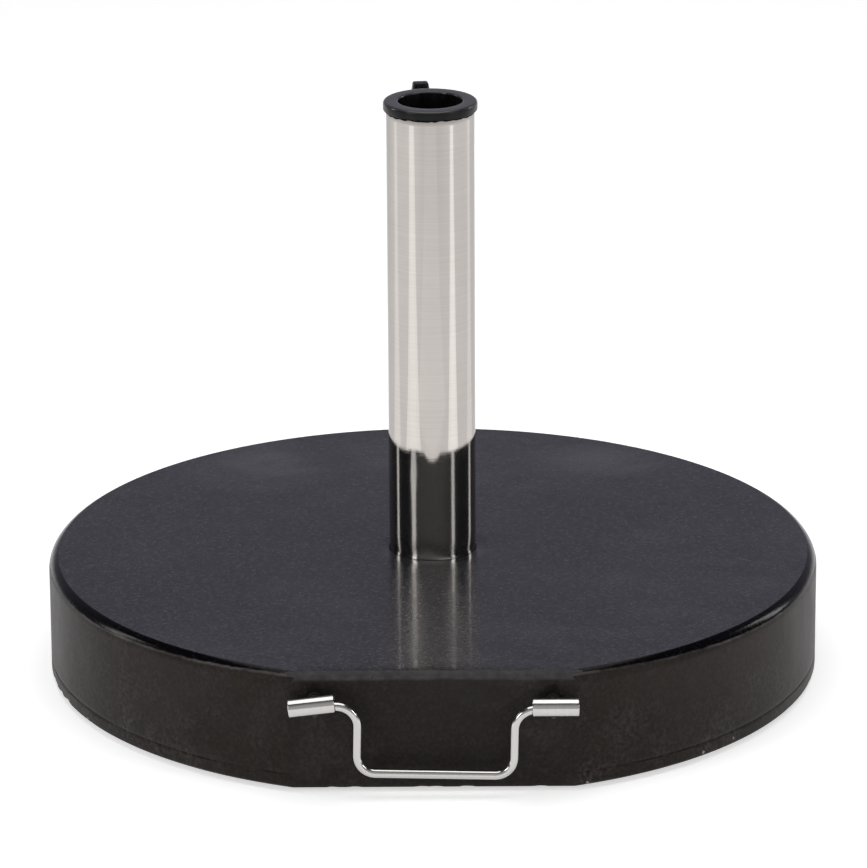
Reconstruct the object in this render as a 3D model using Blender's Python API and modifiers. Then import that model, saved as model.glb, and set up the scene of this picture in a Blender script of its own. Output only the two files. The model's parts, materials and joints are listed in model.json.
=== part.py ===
"""A round parasol base: a heavy stone slab with a flat cut in front, a steel pole tube with a plastic
reducer collar and a clamp screw at the back, a hinged steel bail handle on the flat cut, and two small
transport wheels in a recess under the back edge.

Metres, +Z up. The floor is z = 0, the pole tube stands on the Z axis, and the flat cut faces -Y.
"""
import math

import bmesh
import bpy
from mathutils import Euler, Matrix, Vector

# ---------------------------------------------------------------- driving dimensions
GAP = 0.0003                    # between pieces that touch
CHAMFER = 0.0008                # on the ends of the larger turned pieces
SMALL_CHAMFER = 0.0005
FINE_CHAMFER = 0.0003
OVERLAP = 0.002                 # how far two solids reach into each other before they are joined

# slab
FOOT_HEIGHT = 0.0025            # the slab stands this far off the floor
SLAB_RADIUS = 0.225
SLAB_HEIGHT = 0.068
SLAB_TOP_ROUND = 0.0083         # rounding of the top rim
SLAB_CREASE = 70.0              # degrees up the rounding at which it meets the top face in a crease
SLAB_BOTTOM_CHAMFER = 0.0015
CUT_FACE_Y = -0.210             # the flat cut that carries the handle
CUT_ROUND = 0.0045              # rounding along the top of the cut
SLAB_STEPS = 80

# rubber feet
FOOT_RADIUS = 0.016
FOOT_CIRCLE = 0.180

# pole tube, seated in a socket in the slab and held from below by one bolt
TUBE_RADIUS = 0.0254
TUBE_WALL = 0.0015
TUBE_SEAT_DEPTH = 0.030
TUBE_ABOVE_SLAB = 0.2652
PLATE_THICKNESS = 0.005
WEB_THICKNESS = 0.020           # stone left between the socket and the counterbore
COUNTERBORE_RADIUS = 0.0205
BOLT_RADIUS = 0.006             # M12
BOLT_HEAD_ACROSS = 0.019
BOLT_HEAD_HEIGHT = 0.0075
BOLT_CLEARANCE = 0.0005
BOLT_PROUD = 0.002              # thread standing out above the nut
NUT_HEIGHT = 0.010
FLAT_WASHER_RADIUS = 0.0185
FLAT_WASHER_THICKNESS = 0.0025
SPRING_WASHER_RADIUS = 0.0105
SPRING_WASHER_THICKNESS = 0.003
SPRING_WASHER_SLIT = 0.0012

# reducer collar
FLANGE_RADIUS = 0.0271
FLANGE_THICKNESS = 0.0053
FLANGE_ROUND = 0.0022
COLLAR_HOLE_RADIUS = 0.0185
COLLAR_SPIGOT = 0.022
COLLAR_MOUTH_ROUND = 0.0012
COLLAR_SPIGOT_CHAMFER = 0.001

# clamp screw, M8, on the back of the tube
CLAMP_BELOW_TUBE_TOP = 0.0280
CLAMP_TURN = math.radians(6.3)      # how far round the tube the clamp sits from straight behind
BOSS_RADIUS = 0.009
BOSS_END_Y = 0.0335
CLAMP_RADIUS = 0.004
CLAMP_BORE_RADIUS = 0.0043
PAD_RADIUS = 0.0039
PAD_START_Y = 0.0229
PAD_LENGTH = 0.0039
CLAMP_HEAD_Y = 0.0525
CLAMP_HEAD_ACROSS = 0.013
CLAMP_HEAD_HEIGHT = 0.0053
GRIP_HUB_Y = 0.0445
GRIP_BACK_Y = 0.0600
GRIP_HUB_RADIUS = 0.0105
GRIP_HUB_CHAMFER = 0.001
GRIP_HUB_TAPER = 0.0025         # the hub narrows by this much towards the tube
GRIP_WING_Y = 0.0480
GRIP_WING_THICKNESS = 0.006
GRIP_HALF_LENGTH = 0.0308
GRIP_ROOT_HALF_WIDTH = 0.0092
GRIP_TIP_HALF_WIDTH = 0.0046
GRIP_WALL = 0.0013
GRIP_POCKET_DEPTH = 0.0042
GRIP_CAP_RADIUS = 0.0089
GRIP_CAP_THICKNESS = 0.0015
GRIP_CAP_CROWN = 0.0002

# bail handle: a bent wire whose ends turn in two sleeves
SLEEVE_RADIUS = 0.0053
SLEEVE_LENGTH = 0.0258
SLEEVE_BORE_RADIUS = 0.0046
SLEEVE_BORE_SHORT = 0.0004      # the bore stops this far short of the stud hole
SLEEVE_CENTRE_X = 0.0675
SLEEVE_STAND_OFF = 0.0098       # sleeve axis in front of the cut face
SLEEVE_ABOVE_SLAB_FLOOR = {"left": 0.0525, "right": 0.0510}
SLEEVE_TILT = {"left": math.radians(-6.5), "right": 0.0}
STUD_X = 0.066
STUD_RADIUS = 0.0025
STUD_DEPTH = 0.0345             # how far the stud reaches behind the cut face
PLUG_RADIUS = 0.0047
PLUG_RECESS = 0.0008
PLUG_DEPTH = 0.0417
GRUB_RADIUS = 0.0015
GRUB_BELOW_SLEEVE = 0.0011
GRUB_KEY = 0.0014               # hexagon socket, across its flats
GRUB_KEY_DEPTH = 0.0012
WIRE_RADIUS = 0.0026
BAIL_CENTRE_X = 0.0016
BAIL_AXIS_ABOVE_SLAB_FLOOR = 0.05095
BAIL_TILT = math.radians(1.3)   # the left sleeve sits a little higher than the right one
BAIL_HALF_SPAN = 0.0606         # centre to a wire end
BAIL_LEG_X = 0.0435
BAIL_DROP = 0.0391
BAIL_UPPER_BEND = 0.012
BAIL_LOWER_BEND = 0.0105

# transport wheels in a recess under the back edge
RECESS_HALF_WIDTH = 0.080
RECESS_FRONT_Y = 0.150
RECESS_HEIGHT = 0.050
WHEEL_RADIUS = 0.020
WHEEL_CLEARANCE = 0.0015        # wheels hang this far above the floor until the base is tilted
WHEEL_Y = 0.205
WHEEL_INNER_X = 0.0468
WHEEL_WIDTH = 0.017
WHEEL_HUB_RADIUS = 0.0078
WHEEL_RIM = 0.0035              # radial thickness of the tread ring
WHEEL_WEB_HALF = 0.0035         # half thickness of the dished web
WHEEL_WEB_DRAFT = 0.0006
WHEEL_EDGE_ROUND = 0.002
AXLE_RADIUS = 0.004
AXLE_HALF_LENGTH = 0.0675
AXLE_BORE_RADIUS = 0.0042
AXLE_CAP_RADIUS = 0.0068
AXLE_CAP_LENGTH = 0.0062
AXLE_CAP_ROUND = 0.0025
BRACKET_THICKNESS = 0.0025
BRACKET_HALF_WIDTH = 0.046
BRACKET_HALF_DEPTH = 0.015
EAR_TIP_RADIUS = 0.010
BRACKET_BOLT_X = 0.025
BRACKET_BOLT_RADIUS = 0.003     # M6
BRACKET_BOLT_HEAD_ACROSS = 0.010
BRACKET_BOLT_HEAD_HEIGHT = 0.004
INSERT_RADIUS = 0.005
INSERT_LENGTH = 0.012
BRACKET_BOLT_SHORT = 0.001      # the bolt ends this far below the top of its insert

# ---------------------------------------------------------------- derived places
SLAB_TOP = FOOT_HEIGHT + SLAB_HEIGHT
SOCKET_FLOOR = SLAB_TOP - TUBE_SEAT_DEPTH
COUNTERBORE_TOP = SOCKET_FLOOR - WEB_THICKNESS
TUBE_BOTTOM = SOCKET_FLOOR + GAP
TUBE_TOP = SLAB_TOP + TUBE_ABOVE_SLAB
TUBE_BORE = TUBE_RADIUS - TUBE_WALL
COLLAR_SEAT = TUBE_TOP + GAP
COLLAR_TOP = COLLAR_SEAT + FLANGE_THICKNESS
CLAMP_Z = TUBE_TOP - CLAMP_BELOW_TUBE_TOP
CLAMP_FRAME = Matrix.Translation((0.0, 0.0, CLAMP_Z)) @ Matrix.Rotation(CLAMP_TURN, 4, "Z")
HANDLE_Y = CUT_FACE_Y - SLEEVE_STAND_OFF
WHEEL_Z = WHEEL_RADIUS + WHEEL_CLEARANCE
RECESS_TOP = FOOT_HEIGHT + RECESS_HEIGHT

FINE = 48
MEDIUM = 28
SMALL = 16
MERGE = 0.00001
OVERSHOOT = 0.01                # how far a cutter runs past the face it cuts
SIDES = {"left": -1.0, "right": 1.0}

# turn an object modelled about the Z axis onto another axis
ALONG_X = Euler((0.0, math.pi / 2.0, 0.0))
ALONG_Y = Euler((-math.pi / 2.0, 0.0, 0.0))

# stand an outline drawn in XY upright, facing along Y or along X
FACING_FRONT = Euler((math.pi / 2.0, 0.0, 0.0))
FACING_SIDE = Euler((math.pi / 2.0, 0.0, math.pi / 2.0))


# ---------------------------------------------------------------- scene, materials and collections
def clear_scene():
    for obj in list(bpy.data.objects):
        bpy.data.objects.remove(obj, do_unlink=True)


def new_collection(name):
    collection = bpy.data.collections.new(name)
    bpy.context.scene.collection.children.link(collection)
    return collection


def material(name, colour, roughness, metallic=0.0):
    mat = bpy.data.materials.new(name)
    mat.use_nodes = True
    shader = mat.node_tree.nodes["Principled BSDF"]
    shader.inputs["Base Color"].default_value = (*colour, 1.0)
    shader.inputs["Roughness"].default_value = roughness
    shader.inputs["Metallic"].default_value = metallic
    mat.diffuse_color = (*colour, 1.0)
    return mat


clear_scene()
PARTS = new_collection("parasol_base")
CUTTERS = new_collection("cutters")

STONE = ("stone", (0.035, 0.034, 0.037), 0.50, 0.0)
STEEL = ("brushed_stainless", (0.70, 0.67, 0.63), 0.28, 1.0)
ZINC = ("zinc_plated", (0.55, 0.56, 0.58), 0.40, 1.0)
BLACK_PLASTIC = ("black_plastic", (0.012, 0.012, 0.013), 0.35, 0.0)
NYLON = ("grey_nylon", (0.30, 0.30, 0.29), 0.55, 0.0)
RUBBER = ("rubber", (0.020, 0.020, 0.020), 0.80, 0.0)
BRASS = ("brass", (0.62, 0.47, 0.22), 0.40, 1.0)


# ---------------------------------------------------------------- shape helpers
def add_object(name, data, collection=None):
    obj = bpy.data.objects.new(name, data)
    (collection or PARTS).objects.link(obj)
    return obj


def settle(obj):
    """Turn a curve, or a mesh with modifiers, into one welded plain mesh of the same name and place."""
    bpy.context.view_layer.update()
    evaluated = obj.evaluated_get(bpy.context.evaluated_depsgraph_get())
    mesh = bpy.data.meshes.new_from_object(evaluated)
    welded = bmesh.new()
    welded.from_mesh(mesh)
    bmesh.ops.remove_doubles(welded, verts=welded.verts, dist=MERGE)
    welded.to_mesh(mesh)
    welded.free()
    name = obj.name
    matrix = obj.matrix_world.copy()
    collection = obj.users_collection[0]
    bpy.data.objects.remove(obj, do_unlink=True)
    solid = add_object(name, mesh, collection)
    solid.matrix_world = matrix
    return solid


def finish(obj, look):
    """Settle a part, give it its own material and shade its round faces smooth."""
    part = settle(obj)
    slot, colour, roughness, metallic = look
    part.data.materials.clear()
    part.data.materials.append(material(f"{part.name}_{slot}", colour, roughness, metallic))
    part.data.shade_smooth()
    part.data.set_sharp_from_angle(angle=math.radians(32.0))
    return part


def arc(centre_a, centre_b, radius, start, end, steps):
    """Points along an arc in a plane, angles in degrees."""
    points = []
    for i in range(steps + 1):
        angle = math.radians(start + (end - start) * i / steps)
        points.append((centre_a + radius * math.cos(angle), centre_b + radius * math.sin(angle)))
    return points


def turned(name, profile, steps, ring=False, collection=None):
    """A turned solid: (radius, height) points that run down the outer side, spun about Z."""
    mesh = bpy.data.meshes.new(name)
    count = len(profile)
    edges = [(i, i + 1) for i in range(count - 1)]
    if ring:
        edges.append((count - 1, 0))
    mesh.from_pydata([(radius, 0.0, height) for radius, height in profile], edges, [])
    obj = add_object(name, mesh, collection)
    screw = obj.modifiers.new("turn", "SCREW")
    screw.steps = steps
    screw.render_steps = steps
    screw.use_merge_vertices = True
    screw.merge_threshold = MERGE
    return obj


def rod(name, radius, low, high, steps=SMALL, chamfer=0.0, collection=None):
    """A cylinder about Z between two heights, its ends chamfered if wanted."""
    profile = [(0.0, high)]
    if chamfer > 0.0:
        profile += [(radius - chamfer, high), (radius, high - chamfer)]
        profile += [(radius, low + chamfer), (radius - chamfer, low)]
    else:
        profile += [(radius, high), (radius, low)]
    profile.append((0.0, low))
    return turned(name, profile, steps, collection=collection)


def drill(name, radius, low, high, steps=SMALL):
    """A round cutter about Z."""
    return rod(name, radius, low, high, steps, collection=CUTTERS)


def washer(name, bore, radius, low, high, steps=MEDIUM):
    """A flat ring about Z."""
    return turned(name, [(bore, high), (radius, high), (radius, low), (bore, low)], steps, ring=True)


def outline_plate(name, points, thickness, collection=None):
    """A flat outline in the local XY plane, extruded to both sides of it."""
    curve = bpy.data.curves.new(name, "CURVE")
    curve.dimensions = "2D"
    curve.fill_mode = "BOTH"
    curve.extrude = thickness / 2.0
    spline = curve.splines.new("POLY")
    spline.points.add(len(points) - 1)
    for point, (a, b) in zip(spline.points, points):
        point.co = (a, b, 0.0, 1.0)
    spline.use_cyclic_u = True
    return settle(add_object(name, curve, collection))


def block(name, low, high, collection=None):
    """A box between two corners."""
    mesh = bpy.data.meshes.new(name)
    shape = bmesh.new()
    bmesh.ops.create_cube(shape, size=1.0)
    size = Vector(high) - Vector(low)
    centre = (Vector(high) + Vector(low)) / 2.0
    bmesh.ops.transform(
        shape, matrix=Matrix.Translation(centre) @ Matrix.Diagonal((*size, 1.0)), verts=shape.verts,
    )
    shape.to_mesh(mesh)
    shape.free()
    return add_object(name, mesh, collection)


def hexagon(name, across, low, high, collection=None):
    """A hexagonal prism about Z, sized across its flats."""
    mesh = bpy.data.meshes.new(name)
    shape = bmesh.new()
    corner = across / 2.0 / math.cos(math.pi / 6.0)
    bmesh.ops.create_cone(
        shape, cap_ends=True, segments=6, radius1=corner, radius2=corner, depth=high - low,
        matrix=Matrix.Translation((0.0, 0.0, (low + high) / 2.0)),
    )
    shape.to_mesh(mesh)
    shape.free()
    return add_object(name, mesh, collection)


def place(obj, location=(0.0, 0.0, 0.0), turn=Euler((0.0, 0.0, 0.0))):
    obj.location = location
    obj.rotation_euler = turn
    return obj


def combine(obj, other, operation):
    boolean = obj.modifiers.new(operation.lower(), "BOOLEAN")
    boolean.operation = operation
    boolean.solver = "EXACT"
    boolean.object = other


def cut(obj, cutter):
    """Cut a part with a cutter, which stays in its own collection."""
    cutter.hide_render = True
    cutter.display_type = "WIRE"
    combine(obj, cutter, "DIFFERENCE")
    return obj


def join(obj, other):
    """Join another solid onto a part; the other object is removed."""
    combine(obj, other, "UNION")
    joined = settle(obj)
    bpy.data.objects.remove(other, do_unlink=True)
    return joined


def hang_from(part, empty):
    """Parent a part to an empty without moving it."""
    bpy.context.view_layer.update()
    part.parent = empty
    part.matrix_parent_inverse = empty.matrix_world.inverted()


def joint_empty(name, location, turn=Euler((0.0, 0.0, 0.0))):
    empty = add_object(name, None)
    empty.empty_display_size = 0.02
    place(empty, location, turn)
    bpy.context.view_layer.update()
    return empty


def on_clamp(obj):
    """Move a piece modelled about the local Y axis to the clamp's place on the tube."""
    bpy.context.view_layer.update()
    obj.matrix_world = CLAMP_FRAME @ obj.matrix_world
    return obj


# ---------------------------------------------------------------- slab and feet
def plug_place(side):
    """Where a handle stud enters the cut face: x and z."""
    inboard = SLEEVE_CENTRE_X - STUD_X
    lift = inboard * math.tan(abs(SLEEVE_TILT[side]))
    return SIDES[side] * STUD_X, FOOT_HEIGHT + SLEEVE_ABOVE_SLAB_FLOOR[side] + lift


def make_slab():
    rim_drop = SLAB_TOP_ROUND * math.sin(math.radians(SLAB_CREASE))
    rim = arc(SLAB_RADIUS - SLAB_TOP_ROUND, SLAB_TOP - rim_drop, SLAB_TOP_ROUND, SLAB_CREASE, 0.0, 4)
    socket = TUBE_RADIUS + GAP
    through = BOLT_RADIUS + BOLT_CLEARANCE
    profile = [(socket, SLAB_TOP)] + rim + [
        (SLAB_RADIUS, FOOT_HEIGHT + SLAB_BOTTOM_CHAMFER),
        (SLAB_RADIUS - SLAB_BOTTOM_CHAMFER, FOOT_HEIGHT),
        (COUNTERBORE_RADIUS, FOOT_HEIGHT),
        (COUNTERBORE_RADIUS, COUNTERBORE_TOP),
        (through, COUNTERBORE_TOP),
        (through, SOCKET_FLOOR),
        (socket, SOCKET_FLOOR),
    ]
    slab = turned("base_slab", profile, SLAB_STEPS, ring=True)

    corner = arc(CUT_FACE_Y + CUT_ROUND, SLAB_TOP - CUT_ROUND, CUT_ROUND, 180.0, 90.0, 4)
    beyond = -SLAB_RADIUS - OVERSHOOT
    outline = [(CUT_FACE_Y, FOOT_HEIGHT - OVERSHOOT)] + corner + [
        (CUT_FACE_Y + CUT_ROUND, SLAB_TOP + OVERSHOOT),
        (beyond, SLAB_TOP + OVERSHOOT),
        (beyond, FOOT_HEIGHT - OVERSHOOT),
    ]
    front = outline_plate("cutter_front", outline, 2.0 * SLAB_RADIUS, CUTTERS)
    cut(slab, place(front, turn=FACING_SIDE))

    recess = block(
        "cutter_recess",
        (-RECESS_HALF_WIDTH, RECESS_FRONT_Y, FOOT_HEIGHT - OVERSHOOT),
        (RECESS_HALF_WIDTH, SLAB_RADIUS + OVERSHOOT, RECESS_TOP),
        CUTTERS,
    )
    cut(slab, recess)

    for side, sign in SIDES.items():
        x, z = plug_place(side)
        hole = drill(f"cutter_plug_{side}", PLUG_RADIUS + GAP, -OVERSHOOT, PLUG_DEPTH + GAP)
        place(hole, (x, CUT_FACE_Y, z), ALONG_Y)
        cut(slab, hole)
        depth = INSERT_LENGTH + 2.0 * GAP
        insert_hole = drill(f"cutter_insert_{side}", INSERT_RADIUS + GAP, -OVERSHOOT, depth)
        cut(slab, place(insert_hole, (sign * BRACKET_BOLT_X, WHEEL_Y, RECESS_TOP)))
    return finish(slab, STONE)


def make_feet():
    places = ((1, 1, "back_right"), (-1, 1, "back_left"), (1, -1, "front_right"), (-1, -1, "front_left"))
    reach = FOOT_CIRCLE / math.sqrt(2.0)
    for sign_x, sign_y, name in places:
        foot = rod(f"rubber_foot_{name}", FOOT_RADIUS, 0.0, FOOT_HEIGHT - GAP, MEDIUM, chamfer=SMALL_CHAMFER)
        place(foot, (sign_x * reach, sign_y * reach, 0.0))
        finish(foot, RUBBER)


# ---------------------------------------------------------------- pole tube and its fixing
def make_tube():
    tube = washer("pole_tube", TUBE_BORE, TUBE_RADIUS, TUBE_BOTTOM, TUBE_TOP, FINE)
    window = drill("cutter_clamp_window", CLAMP_BORE_RADIUS + GAP, 0.0, 2.0 * TUBE_RADIUS)
    on_clamp(place(window, turn=ALONG_Y))
    return finish(cut(tube, window), STEEL)


def make_tube_fixing():
    bore = BOLT_RADIUS + GAP
    plate_top = TUBE_BOTTOM + PLATE_THICKNESS
    finish(washer("tube_bottom_plate", bore, TUBE_BORE - GAP, TUBE_BOTTOM, plate_top, FINE), STEEL)

    nut_low = plate_top + GAP
    nut_high = nut_low + NUT_HEIGHT
    nut = hexagon("tube_weld_nut", BOLT_HEAD_ACROSS, nut_low, nut_high)
    nut_bore = drill("cutter_nut_bore", bore, nut_low - OVERSHOOT, nut_high + OVERSHOOT)
    finish(cut(nut, nut_bore), ZINC)

    washer_high = COUNTERBORE_TOP - GAP
    washer_low = washer_high - FLAT_WASHER_THICKNESS
    loose_bore = BOLT_RADIUS + BOLT_CLEARANCE
    flat = washer("tube_flat_washer", loose_bore, FLAT_WASHER_RADIUS, washer_low, washer_high)
    finish(flat, ZINC)

    spring_high = washer_low - GAP
    spring_low = spring_high - SPRING_WASHER_THICKNESS
    spring = washer("tube_spring_washer", bore, SPRING_WASHER_RADIUS, spring_low, spring_high)
    slit = block(
        "cutter_washer_slit",
        (0.0, -SPRING_WASHER_SLIT / 2.0, spring_low - OVERSHOOT),
        (2.0 * SPRING_WASHER_RADIUS, SPRING_WASHER_SLIT / 2.0, spring_high + OVERSHOOT),
        CUTTERS,
    )
    finish(cut(spring, slit), ZINC)

    head_high = spring_low - GAP
    head_low = head_high - BOLT_HEAD_HEIGHT
    bolt = hexagon("tube_fixing_bolt", BOLT_HEAD_ACROSS, head_low, head_high)
    shank_low = head_low + BOLT_HEAD_HEIGHT / 2.0
    shank = rod("bolt_shank", BOLT_RADIUS, shank_low, nut_high + BOLT_PROUD, chamfer=CHAMFER)
    finish(join(bolt, shank), ZINC)


# ---------------------------------------------------------------- reducer collar
def make_collar():
    spigot = TUBE_BORE - GAP
    mouth_round = COLLAR_MOUTH_ROUND
    spigot_end = COLLAR_SEAT - COLLAR_SPIGOT
    top_edge = arc(FLANGE_RADIUS - FLANGE_ROUND, COLLAR_TOP - FLANGE_ROUND, FLANGE_ROUND, 90.0, 0.0, 3)
    mouth = arc(COLLAR_HOLE_RADIUS + mouth_round, COLLAR_TOP - mouth_round, mouth_round, 180.0, 90.0, 2)
    profile = mouth + top_edge + [
        (FLANGE_RADIUS, COLLAR_SEAT + CHAMFER),
        (FLANGE_RADIUS - CHAMFER, COLLAR_SEAT),
        (spigot, COLLAR_SEAT),
        (spigot, spigot_end + COLLAR_SPIGOT_CHAMFER),
        (spigot - COLLAR_SPIGOT_CHAMFER, spigot_end),
        (COLLAR_HOLE_RADIUS, spigot_end),
    ]
    collar = finish(turned("reducer_collar", profile, FINE, ring=True), BLACK_PLASTIC)
    hang_from(collar, joint_empty("collar_lift", (0.0, 0.0, COLLAR_SEAT)))


# ---------------------------------------------------------------- clamp screw
def make_clamp_boss():
    """A threaded boss welded to the tube: a short cylinder with a saddle-shaped foot."""
    boss = rod("clamp_boss", BOSS_RADIUS, TUBE_RADIUS - OVERLAP, BOSS_END_Y, MEDIUM, chamfer=CHAMFER)
    place(boss, turn=ALONG_Y)
    reach = 2.0 * BOSS_RADIUS
    cut(boss, drill("cutter_boss_saddle", TUBE_RADIUS + GAP, -reach, reach, FINE))
    bore = drill("cutter_boss_bore", CLAMP_BORE_RADIUS, 0.0, BOSS_END_Y + OVERSHOOT)
    cut(boss, place(bore, turn=ALONG_Y))
    on_clamp(finish(boss, STEEL))


def grip_outline(inset, start):
    """One arm of the grip in its own plane, from a start height to its rounded tip."""
    tip = GRIP_TIP_HALF_WIDTH - inset
    reach = GRIP_HALF_LENGTH - inset
    round_off = 0.45 * tip
    slope = (GRIP_TIP_HALF_WIDTH - GRIP_ROOT_HALF_WIDTH) / GRIP_HALF_LENGTH
    root = GRIP_ROOT_HALF_WIDTH + slope * start - inset
    corner = arc(tip - round_off, reach - round_off, round_off, 0.0, 90.0, 3)
    right = [(root, start)] + corner
    return right + [(-x, z) for x, z in reversed(right)]


def make_clamp_grip():
    """A moulded T grip: a hub with two tapering arms, cored out on the side facing the tube."""
    upper = grip_outline(0.0, 0.0)[1:-1]
    lower = [(-x, -z) for x, z in upper]
    outline = [(GRIP_ROOT_HALF_WIDTH, 0.0)] + upper + [(-GRIP_ROOT_HALF_WIDTH, 0.0)] + lower
    wings = outline_plate("clamp_grip", outline, GRIP_WING_THICKNESS)
    place(wings, (0.0, GRIP_WING_Y + GRIP_WING_THICKNESS / 2.0, 0.0), FACING_FRONT)
    soften = wings.modifiers.new("soften", "BEVEL")
    soften.width = CHAMFER
    soften.segments = 2
    soften.limit_method = "ANGLE"
    soften.angle_limit = math.radians(50.0)

    hub = turned(
        "grip_hub",
        [
            (0.0, GRIP_BACK_Y),
            (GRIP_HUB_RADIUS - GRIP_HUB_CHAMFER, GRIP_BACK_Y),
            (GRIP_HUB_RADIUS, GRIP_BACK_Y - GRIP_HUB_CHAMFER),
            (GRIP_HUB_RADIUS, GRIP_WING_Y),
            (GRIP_HUB_RADIUS - GRIP_HUB_TAPER, GRIP_HUB_Y),
            (0.0, GRIP_HUB_Y),
        ],
        MEDIUM,
    )
    grip = join(settle(wings), settle(place(hub, turn=ALONG_Y)))

    start = GRIP_HUB_RADIUS + GRIP_WALL
    for name, roll in (("upper", 0.0), ("lower", math.pi)):
        outline = grip_outline(GRIP_WALL, start)
        pocket = outline_plate(f"cutter_grip_{name}", outline, 2.0 * GRIP_POCKET_DEPTH, CUTTERS)
        cut(grip, place(pocket, (0.0, GRIP_WING_Y, 0.0), Euler((math.pi / 2.0, roll, 0.0))))

    head_end = CLAMP_HEAD_Y + CLAMP_HEAD_HEIGHT
    bore = drill("cutter_grip_bore", CLAMP_BORE_RADIUS, GRIP_HUB_Y - OVERSHOOT, CLAMP_HEAD_Y + OVERLAP)
    across = CLAMP_HEAD_ACROSS + 2.0 * GAP
    head_pocket = hexagon("cutter_grip_hexagon", across, CLAMP_HEAD_Y - GAP, head_end + OVERLAP, CUTTERS)
    cap_end = GRIP_BACK_Y + OVERSHOOT
    cap_seat = drill("cutter_grip_cap", GRIP_CAP_RADIUS + GAP, head_end + GAP, cap_end, MEDIUM)
    for cutter in (bore, head_pocket, cap_seat):
        cut(grip, place(cutter, turn=ALONG_Y))
    return on_clamp(finish(grip, BLACK_PLASTIC))


def make_grip_cap():
    low = CLAMP_HEAD_Y + CLAMP_HEAD_HEIGHT + 2.0 * GAP
    high = low + GRIP_CAP_THICKNESS
    profile = [
        (0.0, high),
        (GRIP_CAP_RADIUS - CHAMFER, high - GRIP_CAP_CROWN),
        (GRIP_CAP_RADIUS, low + CHAMFER),
        (GRIP_CAP_RADIUS, low),
        (0.0, low),
    ]
    cap = place(turned("grip_cap", profile, MEDIUM), turn=ALONG_Y)
    return on_clamp(finish(cap, BLACK_PLASTIC))


def make_clamp_screw():
    head_end = CLAMP_HEAD_Y + CLAMP_HEAD_HEIGHT
    screw = hexagon("clamp_screw", CLAMP_HEAD_ACROSS, CLAMP_HEAD_Y, head_end)
    tip = PAD_START_Y + PAD_LENGTH + GAP
    shank = rod("screw_shank", CLAMP_RADIUS, tip, CLAMP_HEAD_Y + OVERLAP, SMALL, chamfer=SMALL_CHAMFER)
    screw = place(join(screw, shank), turn=ALONG_Y)
    return on_clamp(finish(screw, ZINC))


def make_clamp_pad():
    profile = [
        (0.0, PAD_START_Y + PAD_LENGTH),
        (PAD_RADIUS, PAD_START_Y + PAD_LENGTH),
        (PAD_RADIUS, PAD_START_Y + CHAMFER),
        (PAD_RADIUS - CHAMFER, PAD_START_Y),
        (0.0, PAD_START_Y),
    ]
    pad = place(turned("clamp_pad", profile, SMALL), turn=ALONG_Y)
    return on_clamp(finish(pad, NYLON))


def make_clamp():
    make_clamp_boss()
    advance = joint_empty("pad_advance", (0.0, 0.0, CLAMP_Z), Euler((0.0, 0.0, CLAMP_TURN)))
    turn = joint_empty("screw_turn", (0.0, 0.0, CLAMP_Z), Euler((0.0, 0.0, CLAMP_TURN)))
    hang_from(turn, advance)
    hang_from(make_clamp_pad(), advance)
    for piece in (make_clamp_grip(), make_grip_cap(), make_clamp_screw()):
        hang_from(piece, turn)


# ---------------------------------------------------------------- bail handle and its sleeves
def make_sleeve(side):
    """A short round bar on a stud, bored from its inner end for the wire."""
    sign = SIDES[side]
    x, z = plug_place(side)
    inner = -sign * (STUD_X - SLEEVE_CENTRE_X + SLEEVE_LENGTH / 2.0)
    outer = inner + sign * SLEEVE_LENGTH
    low, high = sorted((inner, outer))
    tilt = Euler((0.0, SLEEVE_TILT[side], 0.0))
    frame = Matrix.Translation((x, HANDLE_Y, z)) @ tilt.to_matrix().to_4x4()

    sleeve = rod(f"handle_sleeve_{side}", SLEEVE_RADIUS, low, high, MEDIUM, chamfer=SMALL_CHAMFER)
    sleeve.matrix_world = frame @ ALONG_X.to_matrix().to_4x4()

    bore_end = -sign * (STUD_RADIUS + 2.0 * GAP + SLEEVE_BORE_SHORT)
    bore_mouth = inner - sign * OVERSHOOT
    bore_low, bore_high = sorted((bore_end, bore_mouth))
    bore = drill(f"cutter_sleeve_bore_{side}", SLEEVE_BORE_RADIUS, bore_low, bore_high, MEDIUM)
    bore.matrix_world = sleeve.matrix_world.copy()
    cut(sleeve, bore)

    stud_hole = drill(f"cutter_sleeve_stud_{side}", STUD_RADIUS + GAP, -2.0 * GAP, 2.0 * SLEEVE_RADIUS)
    place(stud_hole, (x, HANDLE_Y, z), ALONG_Y)
    cut(sleeve, stud_hole)

    grub_hole = drill(f"cutter_sleeve_grub_{side}", GRUB_RADIUS + GAP, -2.0 * SLEEVE_RADIUS, 0.0)
    grub_hole.matrix_world = frame
    cut(sleeve, grub_hole)
    finish(sleeve, STEEL)

    grub_top = -STUD_RADIUS - GAP
    grub_bottom = -SLEEVE_RADIUS - GRUB_BELOW_SLEEVE
    name = f"handle_grub_screw_{side}"
    grub = rod(name, GRUB_RADIUS, grub_bottom, grub_top, SMALL, chamfer=FINE_CHAMFER)
    socket_top = grub_bottom + GRUB_KEY_DEPTH
    socket = hexagon(f"cutter_grub_socket_{side}", GRUB_KEY, grub_bottom - OVERSHOOT, socket_top, CUTTERS)
    socket.matrix_world = frame
    grub.matrix_world = frame
    finish(cut(grub, socket), STEEL)


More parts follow.
